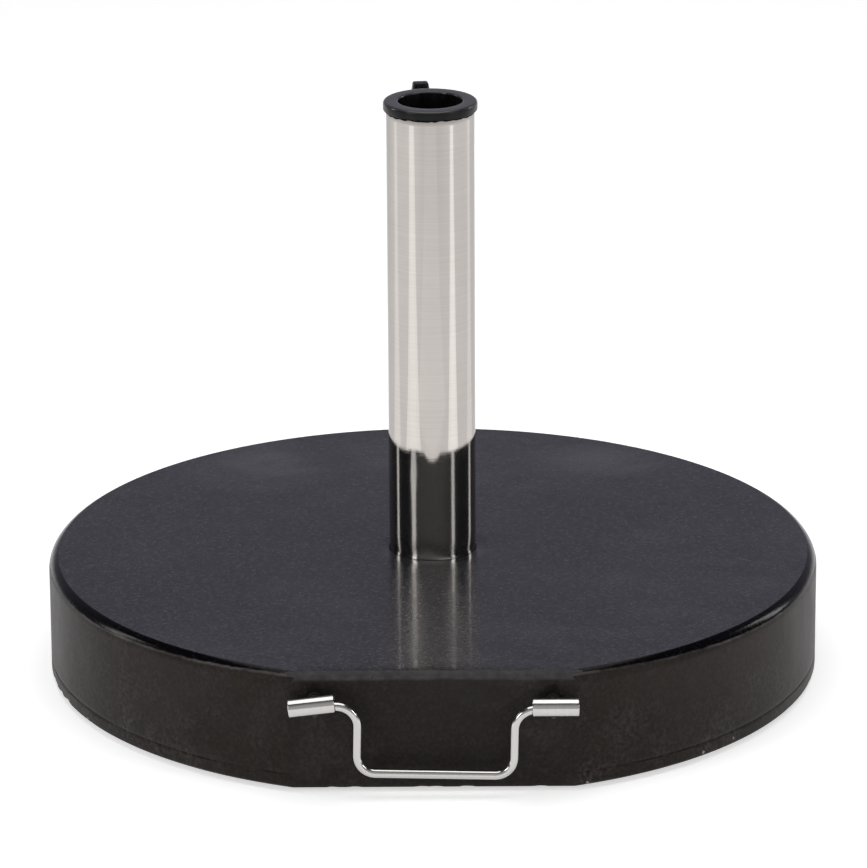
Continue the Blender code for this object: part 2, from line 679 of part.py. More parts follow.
def make_stud_and_plug(side):
    x, z = plug_place(side)
    stand_off = CUT_FACE_Y - HANDLE_Y
    stud_end = stand_off + STUD_DEPTH
    stud = rod(f"handle_stud_{side}", STUD_RADIUS, 0.0, stud_end, SMALL, chamfer=SMALL_CHAMFER)
    finish(place(stud, (x, HANDLE_Y, z), ALONG_Y), ZINC)

    name = f"handle_plug_{side}"
    plug = rod(name, PLUG_RADIUS, PLUG_RECESS, PLUG_DEPTH, SMALL, chamfer=SMALL_CHAMFER)
    place(plug, (x, CUT_FACE_Y, z), ALONG_Y)
    hole = drill(f"cutter_plug_hole_{side}", STUD_RADIUS + GAP, -OVERSHOOT, STUD_DEPTH + 2.0 * GAP)
    place(hole, (x, CUT_FACE_Y, z), ALONG_Y)
    finish(cut(plug, hole), BLACK_PLASTIC)


def bail_path():
    """Centre line of the bent wire in the plane of the bail, its pivot axis along local X."""
    upper_centre = (BAIL_LEG_X + BAIL_UPPER_BEND, -BAIL_UPPER_BEND)
    upper = arc(*upper_centre, BAIL_UPPER_BEND, 90.0, 180.0, 6)
    lower_centre = (BAIL_LEG_X - BAIL_LOWER_BEND, -BAIL_DROP + BAIL_LOWER_BEND)
    lower = arc(*lower_centre, BAIL_LOWER_BEND, 0.0, -90.0, 6)
    right = [(BAIL_HALF_SPAN, 0.0)] + upper + lower
    return right + [(-x, z) for x, z in reversed(right)]


def make_bail():
    curve = bpy.data.curves.new("bail_handle", "CURVE")
    curve.dimensions = "3D"
    curve.bevel_depth = WIRE_RADIUS
    curve.bevel_resolution = 4
    curve.use_fill_caps = True
    path = bail_path()
    spline = curve.splines.new("POLY")
    spline.points.add(len(path) - 1)
    for point, (x, z) in zip(spline.points, path):
        point.co = (x, 0.0, z, 1.0)
    axis_z = FOOT_HEIGHT + BAIL_AXIS_ABOVE_SLAB_FLOOR
    pivot = joint_empty("handle_pivot", (BAIL_CENTRE_X, HANDLE_Y, axis_z), Euler((0.0, BAIL_TILT, 0.0)))
    bail = add_object("bail_handle", curve)
    bail.matrix_world = pivot.matrix_world.copy()
    hang_from(finish(bail, STEEL), pivot)


def make_handle():
    for side in SIDES:
        make_sleeve(side)
        make_stud_and_plug(side)
    make_bail()


# ---------------------------------------------------------------- transport wheels
def make_bracket():
    """A steel plate with two ears that carry the axle."""
    plate_top = RECESS_TOP - GAP
    plate_bottom = plate_top - BRACKET_THICKNESS
    bracket = block(
        "wheel_bracket",
        (-BRACKET_HALF_WIDTH, WHEEL_Y - BRACKET_HALF_DEPTH, plate_bottom),
        (BRACKET_HALF_WIDTH, WHEEL_Y + BRACKET_HALF_DEPTH, plate_top),
    )
    ear_top = plate_top - BRACKET_THICKNESS / 2.0 - WHEEL_Z
    tip = arc(0.0, 0.0, EAR_TIP_RADIUS, 180.0, 360.0, 10)
    ear_outline = [(BRACKET_HALF_DEPTH, ear_top), (-BRACKET_HALF_DEPTH, ear_top)] + tip
    for side, sign in SIDES.items():
        ear = outline_plate(f"ear_{side}", ear_outline, BRACKET_THICKNESS)
        ear_x = sign * (BRACKET_HALF_WIDTH - BRACKET_THICKNESS / 2.0)
        bracket = join(bracket, place(ear, (ear_x, WHEEL_Y, WHEEL_Z), FACING_SIDE))
    for side, sign in SIDES.items():
        hole = drill(f"cutter_bracket_{side}", BRACKET_BOLT_RADIUS + GAP, -OVERSHOOT, OVERSHOOT)
        cut(bracket, place(hole, (sign * BRACKET_BOLT_X, WHEEL_Y, plate_top)))
    bore = drill("cutter_axle_bore", AXLE_BORE_RADIUS, -AXLE_HALF_LENGTH, AXLE_HALF_LENGTH)
    cut(bracket, place(bore, (0.0, WHEEL_Y, WHEEL_Z), ALONG_X))
    finish(bracket, ZINC)
    return plate_bottom


def make_bracket_fixing(side, plate_bottom):
    x = SIDES[side] * BRACKET_BOLT_X
    insert_low = RECESS_TOP + GAP
    insert_high = insert_low + INSERT_LENGTH
    bore = BRACKET_BOLT_RADIUS + GAP
    insert = washer(f"bracket_insert_{side}", bore, INSERT_RADIUS, insert_low, insert_high, SMALL)
    finish(place(insert, (x, WHEEL_Y, 0.0)), BRASS)
    head_high = plate_bottom - GAP
    head_low = head_high - BRACKET_BOLT_HEAD_HEIGHT
    bolt = hexagon(f"bracket_bolt_{side}", BRACKET_BOLT_HEAD_ACROSS, head_low, head_high)
    shank_high = insert_high - BRACKET_BOLT_SHORT
    shank_low = head_low + OVERLAP
    shank = rod(f"shank_{side}", BRACKET_BOLT_RADIUS, shank_low, shank_high, chamfer=SMALL_CHAMFER)
    finish(place(join(bolt, shank), (x, WHEEL_Y, 0.0)), ZINC)


def make_wheel(side):
    """A solid plastic wheel about local Z, with a raised hub and a dished web on both faces."""
    half = WHEEL_WIDTH / 2.0
    rim_inner = WHEEL_RADIUS - WHEEL_RIM
    edge = WHEEL_EDGE_ROUND
    upper = [
        (AXLE_BORE_RADIUS, half),
        (WHEEL_HUB_RADIUS, half),
        (WHEEL_HUB_RADIUS + WHEEL_WEB_DRAFT, WHEEL_WEB_HALF),
        (rim_inner - WHEEL_WEB_DRAFT, WHEEL_WEB_HALF),
        (rim_inner, half),
    ] + arc(WHEEL_RADIUS - edge, half - edge, edge, 90.0, 0.0, 2)
    profile = upper + [(radius, -height) for radius, height in reversed(upper)]
    wheel = turned(f"wheel_{side}", profile, MEDIUM, ring=True)
    centre_x = SIDES[side] * (WHEEL_INNER_X + half)
    wheel = finish(place(wheel, (centre_x, WHEEL_Y, WHEEL_Z), ALONG_X), BLACK_PLASTIC)
    hang_from(wheel, joint_empty(f"wheel_{side}_spin", (centre_x, WHEEL_Y, WHEEL_Z)))


def make_axle_cap(side):
    """A push-on cap that closes over one end of the axle."""
    sign = SIDES[side]
    inner = WHEEL_INNER_X + WHEEL_WIDTH + GAP
    length = AXLE_CAP_LENGTH
    rounding = AXLE_CAP_ROUND
    dome = arc(AXLE_CAP_RADIUS - rounding, length - rounding, rounding, 90.0, 0.0, 3)
    depth = AXLE_HALF_LENGTH - inner + GAP
    profile = [(0.0, length)] + dome
    profile += [(AXLE_CAP_RADIUS, 0.0), (AXLE_BORE_RADIUS, 0.0), (AXLE_BORE_RADIUS, depth), (0.0, depth)]
    cap = turned(f"axle_cap_{side}", profile, SMALL)
    turn = ALONG_X if sign > 0.0 else Euler((0.0, -math.pi / 2.0, 0.0))
    finish(place(cap, (sign * inner, WHEEL_Y, WHEEL_Z), turn), BLACK_PLASTIC)


def make_wheels():
    plate_bottom = make_bracket()
    reach = AXLE_HALF_LENGTH
    axle = rod("wheel_axle", AXLE_RADIUS, -reach, reach, SMALL, chamfer=SMALL_CHAMFER)
    finish(place(axle, (0.0, WHEEL_Y, WHEEL_Z), ALONG_X), ZINC)
    for side in SIDES:
        make_bracket_fixing(side, plate_bottom)
        make_wheel(side)
        make_axle_cap(side)


# ---------------------------------------------------------------- the whole base
make_slab()
make_feet()
make_tube()
make_tube_fixing()
make_collar()
make_clamp()
make_handle()
make_wheels()
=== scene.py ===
"""Looks of the parasol base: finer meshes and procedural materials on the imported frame, with a pale
floor, soft studio light and the camera.

Metres, +Z up. The floor is z = 0, the tube stands on the Z axis, and the flat cut faces -Y.
"""
import itertools
import json
import math
import random
from contextlib import contextmanager
from types import SimpleNamespace

import bmesh
import bpy
from mathutils import Euler, Matrix, Vector, noise


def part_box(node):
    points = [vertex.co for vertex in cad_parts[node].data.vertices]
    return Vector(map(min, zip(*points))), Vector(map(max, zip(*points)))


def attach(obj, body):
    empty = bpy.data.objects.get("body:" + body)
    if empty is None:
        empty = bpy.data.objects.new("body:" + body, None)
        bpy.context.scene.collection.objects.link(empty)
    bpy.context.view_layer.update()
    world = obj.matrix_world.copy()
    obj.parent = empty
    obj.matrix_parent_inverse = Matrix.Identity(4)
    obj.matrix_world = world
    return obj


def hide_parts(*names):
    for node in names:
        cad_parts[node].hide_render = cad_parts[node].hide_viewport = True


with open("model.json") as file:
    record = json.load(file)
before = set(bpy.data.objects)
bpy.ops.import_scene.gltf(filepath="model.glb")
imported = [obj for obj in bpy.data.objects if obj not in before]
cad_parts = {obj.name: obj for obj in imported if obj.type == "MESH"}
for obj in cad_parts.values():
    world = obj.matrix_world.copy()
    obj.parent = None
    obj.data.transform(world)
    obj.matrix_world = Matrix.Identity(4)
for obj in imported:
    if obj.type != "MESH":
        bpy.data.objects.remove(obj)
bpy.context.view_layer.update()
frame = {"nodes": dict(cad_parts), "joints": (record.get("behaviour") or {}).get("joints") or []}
NODES = frame["nodes"]
JOINTS = {joint["name"]: joint for joint in frame["joints"]}

# ---- dimensions shared with the frame
GAP = 0.0003
FOOT_HEIGHT = 0.0025
SLAB_RADIUS = 0.225
SLAB_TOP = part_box("base_slab")[1].z
SLAB_TOP_ROUND = 0.0083
SLAB_CREASE = math.radians(70.0)
RIM_DROP = SLAB_TOP_ROUND * math.sin(SLAB_CREASE)
SLAB_BOTTOM_CHAMFER = 0.0015
CUT_FACE_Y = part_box("base_slab")[0].y
CUT_ROUND = 0.0045
SOCKET_FLOOR = SLAB_TOP - 0.030
COUNTERBORE_TOP = SOCKET_FLOOR - 0.020
COUNTERBORE_RADIUS = 0.0205
BOLT_HOLE_RADIUS = 0.0065
TUBE_BOLT_ACROSS = 0.019
TUBE_BOLT_HEAD = 0.0075
TUBE_BOLT_RADIUS = 0.006
TUBE_BOLT_PITCH = 0.00175
FOOT_RADIUS = 0.016
FOOT_GROOVES = (0.0125, 0.0090, 0.0055)

TUBE_RADIUS = 0.0254
TUBE_WALL = 0.0015
TUBE_BOTTOM, TUBE_TOP = (corner.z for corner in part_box("pole_tube"))

COLLAR_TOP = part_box("reducer_collar")[1].z
COLLAR_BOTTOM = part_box("reducer_collar")[0].z
COLLAR_SEAT = TUBE_TOP + GAP
FLANGE_RADIUS = 0.0271
FLANGE_ROUND = 0.0016
COLLAR_HOLE_RADIUS = 0.0185

CLAMP_Z = JOINTS["screw_turn"]["pos_m"][2]
CLAMP_TURN = math.radians(6.3)
CLAMP_FRAME = Matrix.Translation((0.0, 0.0, CLAMP_Z)) @ Matrix.Rotation(CLAMP_TURN, 4, "Z")
BOSS_RADIUS = 0.009
BOSS_END_Y = 0.0335
CLAMP_RADIUS = 0.004
CLAMP_BORE_RADIUS = 0.0043
CLAMP_PITCH = 0.00125
PAD_RADIUS = 0.0039
PAD_START_Y = 0.0229
PAD_LENGTH = 0.0039
CLAMP_HEAD_Y = 0.0525
CLAMP_HEAD_ACROSS = 0.013
CLAMP_HEAD_HEIGHT = 0.0053
CLAMP_HEAD_END = CLAMP_HEAD_Y + CLAMP_HEAD_HEIGHT
GRIP_HUB_Y = 0.0445
GRIP_BACK_Y = 0.0600
GRIP_HUB_RADIUS = 0.0105
GRIP_HUB_TAPER = 0.0025
GRIP_WING_Y = 0.0480
GRIP_WING_THICKNESS = 0.006
GRIP_HALF_LENGTH = 0.0308
GRIP_ROOT_HALF_WIDTH = 0.0092
GRIP_TIP_HALF_WIDTH = 0.0046
GRIP_WALL = 0.0013
GRIP_POCKET_DEPTH = 0.0042
GRIP_CAP_RADIUS = 0.0089
GRIP_CAP_THICKNESS = 0.0015

SLEEVE_RADIUS = 0.0053
SLEEVE_LENGTH = 0.0258
SLEEVE_BORE_RADIUS = 0.0046
SLEEVE_CENTRE_X = 0.0675
HANDLE_Y = CUT_FACE_Y - 0.0098
SLEEVE_HEIGHT = {"left": 0.0525, "right": 0.0510}
SLEEVE_TILT = {"left": math.radians(-6.5), "right": 0.0}
STUD_X = 0.066
STUD_RADIUS = 0.0025
STUD_PITCH = 0.0008
PLUG_RADIUS = 0.0047
PLUG_HOLE_DEPTH = 0.042
GRUB_RADIUS = 0.0015
WIRE_RADIUS = 0.0026
BAIL_TILT = math.radians(1.3)
BAIL_HALF_SPAN = 0.0606
BAIL_LEG_X = 0.0435
BAIL_DROP = 0.0391
BAIL_UPPER_BEND = 0.012
BAIL_LOWER_BEND = 0.0105

RECESS_HALF_WIDTH = 0.080
RECESS_FRONT_Y = 0.150
RECESS_TOP = FOOT_HEIGHT + 0.050
WHEEL_RADIUS = 0.020
WHEEL_Y = 0.205
WHEEL_Z = 0.0215
WHEEL_INNER_X = 0.0468
WHEEL_WIDTH = 0.017
WHEEL_HUB_RADIUS = 0.0078
WHEEL_RIM = 0.0035
WHEEL_WEB_HALF = 0.0035
WHEEL_SPOKES = 6.0
TREAD_LINES = (0.0048, 0.0045, 0.0036, 0.0033)
AXLE_RADIUS = 0.004
AXLE_HALF_LENGTH = 0.0675
AXLE_BORE_RADIUS = 0.0042
AXLE_CAP_RADIUS = 0.0068
AXLE_CAP_LENGTH = 0.0062
BRACKET_BOLT_X = 0.025
BRACKET_BOLT_RADIUS = 0.003
BRACKET_BOLT_ACROSS = 0.010
BRACKET_BOLT_HEAD = 0.004
INSERT_HOLE_RADIUS = 0.0053
INSERT_HOLE_DEPTH = 0.0126

TINY = 1e-6
SIDES = {"left": -1.0, "right": 1.0}
ALONG_X = Euler((0.0, math.pi / 2.0, 0.0)).to_matrix().to_4x4()
ALONG_Y = Euler((-math.pi / 2.0, 0.0, 0.0)).to_matrix().to_4x4()
FACING_FRONT = Euler((math.pi / 2.0, 0.0, 0.0)).to_matrix().to_4x4()


# ---- mesh helpers
def add_object(name, mesh):
    obj = bpy.data.objects.new(name, mesh)
    bpy.context.scene.collection.objects.link(obj)
    return obj


def mesh_object(name, points, faces):
    mesh = bpy.data.meshes.new(name)
    mesh.from_pydata(points, [], faces)
    return add_object(name, mesh)


def at(x, y, z):
    return Matrix.Translation((x, y, z))


def arc(centre_a, centre_b, radius, start, end, steps):
    """Points along an arc in a plane, angles in degrees."""
    points = []
    for i in range(steps + 1):
        angle = math.radians(start + (end - start) * i / steps)
        points.append((centre_a + radius * math.cos(angle), centre_b + radius * math.sin(angle)))
    return points


def upper_rim(radius, top, rounding, steps):
    """The rounded upper rim of a turned profile."""
    return arc(radius - rounding, top - rounding, rounding, 90.0, 0.0, steps)


def lower_rim(radius, bottom, rounding, steps):
    return arc(radius - rounding, bottom + rounding, rounding, 0.0, -90.0, steps)


def spread(start, end, steps):
    """Evenly spaced values strictly between two values."""
    return [start + (end - start) * i / steps for i in range(1, steps)]


def turned(name, profile, steps, ring=False, shape=None):
    """A turned solid: (radius, height) points that run down the outer side, swept round Z. A shape
    function may change a point's radius and height by its angle."""
    points, faces, rows = [], [], []
    for radius, height in profile:
        if radius < TINY:
            rows.append([len(points)] * steps)
            points.append((0.0, 0.0, height))
            continue
        rows.append(list(range(len(points), len(points) + steps)))
        for i in range(steps):
            angle = 2.0 * math.pi * i / steps
            r, z = shape(radius, height, angle) if shape else (radius, height)
            points.append((r * math.cos(angle), r * math.sin(angle), z))
    lower_rows = rows[1:] + (rows[:1] if ring else [])
    for upper, lower in zip(rows, lower_rows):
        for i in range(steps):
            j = (i + 1) % steps
            faces.append(list(dict.fromkeys((upper[i], lower[i], lower[j], upper[j]))))
    return mesh_object(name, points, faces)


def skin(name, rows, closed=True):
    """A mesh over rows of equally many points. Each row closes on itself, and the last row joins the
    first one, or else the end rows are capped."""
    count = len(rows[0])
    faces = []
    for row in range(len(rows) if closed else len(rows) - 1):
        here, beyond = row * count, (row + 1) % len(rows) * count
        for i in range(count):
            j = (i + 1) % count
            faces.append([here + i, here + j, beyond + j, beyond + i])
    if not closed:
        last = (len(rows) - 1) * count
        faces += [list(range(count)), list(range(last, last + count))[::-1]]
    obj = mesh_object(name, [point for row in rows for point in row], faces)
    outward(obj)
    return obj


def hexagon(across):
    """Corners of a hexagon from its width across the flats."""
    corner = across / 2.0 / math.cos(math.pi / 6.0)
    return [(corner * math.cos(k * math.pi / 3.0), corner * math.sin(k * math.pi / 3.0)) for k in range(6)]


def outline_plate(name, points, thickness):
    """A flat outline in the local XY plane, extruded to both sides of it."""
    half = thickness / 2.0
    count = len(points)
    corners = [(a, b, -half) for a, b in points] + [(a, b, half) for a, b in points]
    faces = [list(range(count))[::-1], list(range(count, 2 * count))]
    for i in range(count):
        j = (i + 1) % count
        faces.append([i, j, count + j, count + i])
    obj = mesh_object(name, corners, faces)
    outward(obj)
    return obj


def block(name, low, high):
    """A box between two corners."""
    size = Vector(high) - Vector(low)
    centre = (Vector(high) + Vector(low)) / 2.0
    shape = bmesh.new()
    bmesh.ops.create_cube(shape, size=1.0, matrix=Matrix.Translation(centre) @ Matrix.Diagonal((*size, 1.0)))
    mesh = bpy.data.meshes.new(name)
    shape.to_mesh(mesh)
    shape.free()
    return add_object(name, mesh)


@contextmanager
def editing(obj):
    """Opens an object's mesh for bmesh operations and writes it back."""
    shape = bmesh.new()
    shape.from_mesh(obj.data)
    yield shape
    shape.to_mesh(obj.data)
    shape.free()


def outward(obj):
    with editing(obj) as shape:
        bmesh.ops.recalc_face_normals(shape, faces=shape.faces)


def placed(obj, matrix):
    obj.data.transform(matrix)
    return obj


def apply_modifiers(obj):
    """Replace the mesh by its modified one, welded."""
    bpy.context.view_layer.update()
    evaluated = obj.evaluated_get(bpy.context.evaluated_depsgraph_get())
    mesh = bpy.data.meshes.new_from_object(evaluated)
    obj.modifiers.clear()
    obj.data = mesh
    weld(obj)
    return obj


def weld(obj, distance=0.000002):
    with editing(obj) as shape:
        bmesh.ops.remove_doubles(shape, verts=shape.verts, dist=distance)
        bmesh.ops.dissolve_degenerate(shape, edges=shape.edges, dist=distance)


def combine(obj, others, operation):
    """Boolean with other solids, which are then removed."""
    for other in others:
        boolean = obj.modifiers.new(operation.lower(), "BOOLEAN")
        boolean.operation = operation
        boolean.solver = "EXACT"
        boolean.object = other
    apply_modifiers(obj)
    for other in others:
        bpy.data.objects.remove(other, do_unlink=True)
    return obj


def bevelled(obj, width, segments=2, angle=40.0):
    bevel = obj.modifiers.new("edges", "BEVEL")
    bevel.width = width
    bevel.segments = segments
    bevel.limit_method = "ANGLE"
    bevel.angle_limit = math.radians(angle)
    bevel.miter_outer = "MITER_ARC"
    return apply_modifiers(obj)


def smoothed(obj, angle=35.0):
    obj.data.shade_smooth()
    obj.data.set_sharp_from_angle(angle=math.radians(angle))
    return obj


def cylinder(name, radius, low, high, steps=48):
    return turned(name, [(0.0, high), (radius, high), (radius, low), (0.0, low)], steps)


def rounded_rod(name, radius, low, high, rounding, steps=64):
    """A solid rod about Z with rounded rims."""
    profile = [(0.0, high)] + upper_rim(radius, high, rounding, 4) + lower_rim(radius, low, rounding, 4)
    return turned(name, profile + [(0.0, low)], steps)


def threaded_rod(name, radius, low, high, pitch, depth, steps=48):
    """A rod about Z with a screw thread, tapered at both ends."""
    lead = 1.2 * pitch
    rows = int((high - low) / pitch * 8)

    def groove(r, z, angle):
        phase = (z / pitch - angle / (2.0 * math.pi)) % 1.0
        cut = depth * (1.0 - abs(2.0 * phase - 1.0) ** 1.5)
        end = min(z - low, high - z)
        taper = max(0.0, 1.0 - end / lead) * depth * 1.2
        return (r if r < radius - TINY else r - max(cut, taper)), z

    profile = [(0.0, high), (radius, high)]
    profile += [(radius, z) for z in spread(high, low, rows)]
    profile += [(radius, low), (0.0, low)]
    return turned(name, profile, steps, shape=groove)


def hex_head(name, across, low, high, low_chamfer=True, high_chamfer=True):
    """A hexagon about Z with its corners turned off at 30 degrees."""
    head = placed(outline_plate(name, hexagon(across), high - low), at(0.0, 0.0, (low + high) / 2.0))
    flat = 0.475 * across
    wide = across / 2.0 / math.cos(math.pi / 6.0) + 0.0002
    drop = (wide - flat) * math.tan(math.radians(30.0))
    margin = 0.001
    profile = [(0.0, high)] if high_chamfer else [(0.0, high + margin), (wide, high + margin)]
    if high_chamfer:
        profile += [(flat, high), (wide, high - drop)]
    if low_chamfer:
        profile += [(wide, low + drop), (flat, low), (0.0, low)]
    else:
        profile += [(wide, low - margin), (0.0, low - margin)]
    return combine(head, [turned(f"{name}_turning", profile, 72)], "INTERSECT")


# ---- material helpers
def fresh_material(name):
    """A new material and its object coordinates."""
    mat = bpy.data.materials.new(name)
    mat.use_nodes = True
    return mat, make_node(mat.node_tree, "ShaderNodeTexCoord", {}).outputs["Object"]


def wire(socket, value):
    if isinstance(value, bpy.types.NodeSocket):
        socket.id_data.links.new(value, socket)
    else:
        socket.default_value = value


def make_node(near, kind, inputs, **settings):
    """A node in the tree that a socket belongs to, or in the tree given."""
    made = near.id_data.nodes.new(kind)
    for key, value in settings.items():
        setattr(made, key, value)
    for key, value in inputs.items():
        wire(made.inputs[key], value)
    return made


def scaled(vector, scale):
    return make_node(vector, "ShaderNodeMapping", {"Vector": vector, "Scale": scale}).outputs[0]


def grain(vector, scale, detail=4.0, rough=0.6, distortion=0.0):
    inputs = {"Vector": vector, "Scale": scale, "Detail": detail, "Roughness": rough}
    inputs["Distortion"] = distortion
    return make_node(vector, "ShaderNodeTexNoise", inputs).outputs["Fac"]


def specks(vector, scale):
    """Distance to the nearest of many scattered points, in cells."""
    return make_node(vector, "ShaderNodeTexVoronoi", {"Vector": vector, "Scale": scale}).outputs["Distance"]


def distance_to(vector, point):
    made = make_node(vector, "ShaderNodeVectorMath", {0: vector, 1: point}, operation="DISTANCE")
    return made.outputs["Value"]


def remap(value, low, high, to_low=0.0, to_high=1.0, smooth=False):
    inputs = {"Value": value, "From Min": low, "From Max": high, "To Min": to_low, "To Max": to_high}
    kind = "SMOOTHSTEP" if smooth else "LINEAR"
    return make_node(value, "ShaderNodeMapRange", inputs, interpolation_type=kind).outputs[0]


def calc(operation, a, b=0.0):
    near = a if isinstance(a, bpy.types.NodeSocket) else b
    return make_node(near, "ShaderNodeMath", {0: a, 1: b}, operation=operation).outputs[0]


def times(a, b):
    return calc("MULTIPLY", a, b)


def plus(a, b):
    return calc("ADD", a, b)


def blend_colour(factor, a, b):
    made = make_node(factor, "ShaderNodeMix", {"Factor": factor}, data_type="RGBA")
    for socket, value in ((made.inputs[6], a), (made.inputs[7], b)):
        wire(socket, value if isinstance(value, bpy.types.NodeSocket) else (*value, 1.0))
    return made.outputs[2]


def bump(height, distance, strength=1.0, normal=None):
    inputs = {"Height": height, "Distance": distance, "Strength": strength}
    if normal is not None:
        inputs["Normal"] = normal
    return make_node(height, "ShaderNodeBump", inputs).outputs[0]


def axis_part(vector, axis):
    return make_node(vector, "ShaderNodeSeparateXYZ", {"Vector": vector}).outputs[axis]


def finish_shader(mat, colour, roughness, normal=None, **fixed):
    """Wire a material's shader, set the values that are the same all over it, and return it."""
    shader = mat.node_tree.nodes["Principled BSDF"]
    wire(shader.inputs["Base Color"], colour)
    wire(shader.inputs["Roughness"], roughness)
    if normal is not None:
        wire(shader.inputs["Normal"], normal)
    for key, value in fixed.items():
        shader.inputs[key.replace("_", " ")].default_value = value
    return mat


def plug_place(side):
    """Where a handle stud enters the cut face: x and z."""
    lift = (SLEEVE_CENTRE_X - STUD_X) * math.tan(abs(SLEEVE_TILT[side]))
    return SIDES[side] * STUD_X, FOOT_HEIGHT + SLEEVE_HEIGHT[side] + lift


# ---- materials
FLOOR_GLOW = 0.69
CHIP_MARKS = ((0.1700, 0.0062), (0.1520, 0.0048), (0.0856, 0.0040), (-0.1985, 0.0045))  # x and z
TOP_CLOUDS = (((-0.110, 0.148), 0.060, 0.75), ((0.108, 0.158), 0.048, 0.55), ((-0.020, 0.170), 0.050, 0.30))


def stone_grain(place):
    """The noises that all faces of the stone share."""
    return SimpleNamespace(
        cloud=grain(place, 7.0, 5.0, 0.60, 0.6),
        patch=grain(scaled(place, (1.0, 1.6, 1.0)), 16.0, 6.0, 0.68, 0.4),
        grit=grain(place, 430.0, 3.0, 0.65),
        fine=grain(place, 1500.0, 3.0, 0.7),
        medium=grain(place, 190.0, 4.0, 0.6),
        dots=specks(place, 420.0),
    )


def stone_relief(noises, lumps, grit, fine):
    """Bumps of three sizes, each with its own height."""
    relief = bump(noises.medium, lumps, 0.5)
    relief = bump(noises.grit, grit, 0.6, relief)
    return bump(noises.fine, fine, 0.5, relief)


def worn_edges(noises, colour, pale, strength):
    """Paler broken lines where the surface turns a corner."""
    worn = make_node(colour, "ShaderNodeNewGeometry", {}).outputs["Pointiness"]
    edge = times(remap(worn, 0.515, 0.56), remap(noises.medium, 0.35, 0.65))
    return blend_colour(times(edge, strength), colour, pale)


def flecked(noises, colour, reach, pale):
    """Small pale crystals, scattered."""
    return blend_colour(remap(noises.dots, reach, 0.02), colour, pale)


def matt_stone(place, noises, dark, pale, blueness, bluish, speckled):
    """Brown-black stone with bluish patches and a fine pale grain in two sizes."""
    colour = blend_colour(remap(noises.cloud, 0.35, 0.65), dark, pale)
    patches = remap(grain(place, 34.0, 4.0, 0.6, 0.8), 0.54, 0.72, 0.0, blueness)
    colour = blend_colour(patches, colour, bluish)
    speckle = plus(times(noises.grit, 0.6), times(noises.fine, 0.4))
    return blend_colour(remap(speckle, 0.45, 0.66), colour, speckled)


def stone_top_material(name):
    """The cast top: a semi-gloss charcoal with grain and faint clouds."""
    mat, place = fresh_material(name)
    noises = stone_grain(place)
    haze = times(remap(noises.cloud, 0.40, 0.66), remap(noises.patch, 0.38, 0.66))
    colour = blend_colour(haze, (0.0050, 0.0049, 0.0066), (0.0290, 0.0285, 0.0320))
    for centre, reach, strength in TOP_CLOUDS:
        near = remap(distance_to(place, (*centre, SLAB_TOP)), reach, 0.2 * reach, 0.0, strength, smooth=True)
        near = times(near, remap(noises.patch, 0.34, 0.66, 0.25, 1.0))
        colour = blend_colour(near, colour, (0.0800, 0.0795, 0.0860))
    speckle = plus(times(noises.grit, 0.45), times(noises.fine, 0.55))
    colour = blend_colour(remap(speckle, 0.46, 0.66), colour, (0.0640, 0.0635, 0.0690))
    colour = flecked(noises, colour, 0.08, (0.055, 0.055, 0.060))
    dull = remap(plus(noises.fine, times(haze, 0.05)), 0.41, 0.455)
    rough = remap(dull, 0.0, 1.0, 0.03, 0.26)
    relief = stone_relief(noises, 0.00001, 0.00001, 0.000008)
    return finish_shader(mat, colour, rough, relief, Specular_IOR_Level=0.24)


def stone_side_material(name):
    """Round side: matt brown-black, pale scuffs, a glossy rim painted near-black as dark reflection, a
    painted highlight line.
    """
    mat, place = fresh_material(name)
    noises = stone_grain(place)
    height = axis_part(place, "Z")
    # The rim band along the top of the rounding, made wider towards the left and right, is painted near-black
    # as dark reflection; only its gloss is the stone's polish.
    ragged = plus(height, remap(noises.medium, 0.3, 0.7, -0.00025, 0.00025))
    across = calc("ABSOLUTE", axis_part(place, "X"))
    depth = remap(across, 0.090, 0.195, 0.0016, 0.0046)
    below = calc("SUBTRACT", calc("SUBTRACT", SLAB_TOP, depth), ragged)
    rim = remap(below, 0.0003, -0.0005, smooth=True)
    colour = matt_stone(
        place, noises, (0.0095, 0.0070, 0.0060), (0.0170, 0.0132, 0.0118), 0.55, (0.0220, 0.0185, 0.0240),
        (0.0250, 0.0208, 0.0192),
    )
    low = remap(height, FOOT_HEIGHT + 0.050, FOOT_HEIGHT + 0.012)
    scuff = times(remap(noises.patch, 0.47, 0.72), remap(noises.grit, 0.38, 0.62))
    scuff = times(scuff, remap(low, 0.0, 1.0, 0.25, 0.85))
    colour = blend_colour(scuff, colour, (0.058, 0.051, 0.052))
    colour = flecked(noises, colour, 0.085, (0.11, 0.102, 0.098))
    colour = worn_edges(noises, colour, (0.085, 0.078, 0.074), 0.5)
    for x, z in CHIP_MARKS:
        centre = (x, -math.sqrt(SLAB_RADIUS ** 2 - x ** 2), z)
        torn = plus(distance_to(place, centre), remap(noises.grit, 0.3, 0.7, -0.0008, 0.0008))
        colour = blend_colour(remap(torn, 0.0010, 0.0004), colour, (0.26, 0.25, 0.24))
    # Near-black rim colour: painted dark reflection.
    rim_painted_dark_colour = blend_colour(remap(noises.grit, 0.56, 0.80), (0.0018, 0.0017, 0.0024), (0.016, 0.015, 0.018))
    colour = blend_colour(rim, colour, rim_painted_dark_colour)
    # A painted highlight: a thin pale line just below the rim band.
    line = times(remap(below, -0.0004, 0.0002), remap(below, 0.0014, 0.0004))
    line = times(line, remap(noises.patch, 0.42, 0.64, 0.05, 0.8))
    colour = blend_colour(line, colour, (0.115, 0.110, 0.108))
    matt = remap(noises.patch, 0.3, 0.75, 0.38, 0.50)
    rough = make_node(rim, "ShaderNodeMix", {"Factor": rim, 2: matt, 3: 0.17}).outputs[0]
    relief = stone_relief(noises, 0.00014, 0.00007, 0.00003)
    tint = (1.0, 0.90, 0.85, 1.0)
    return finish_shader(mat, colour, rough, relief, Specular_IOR_Level=0.10, Specular_Tint=tint)


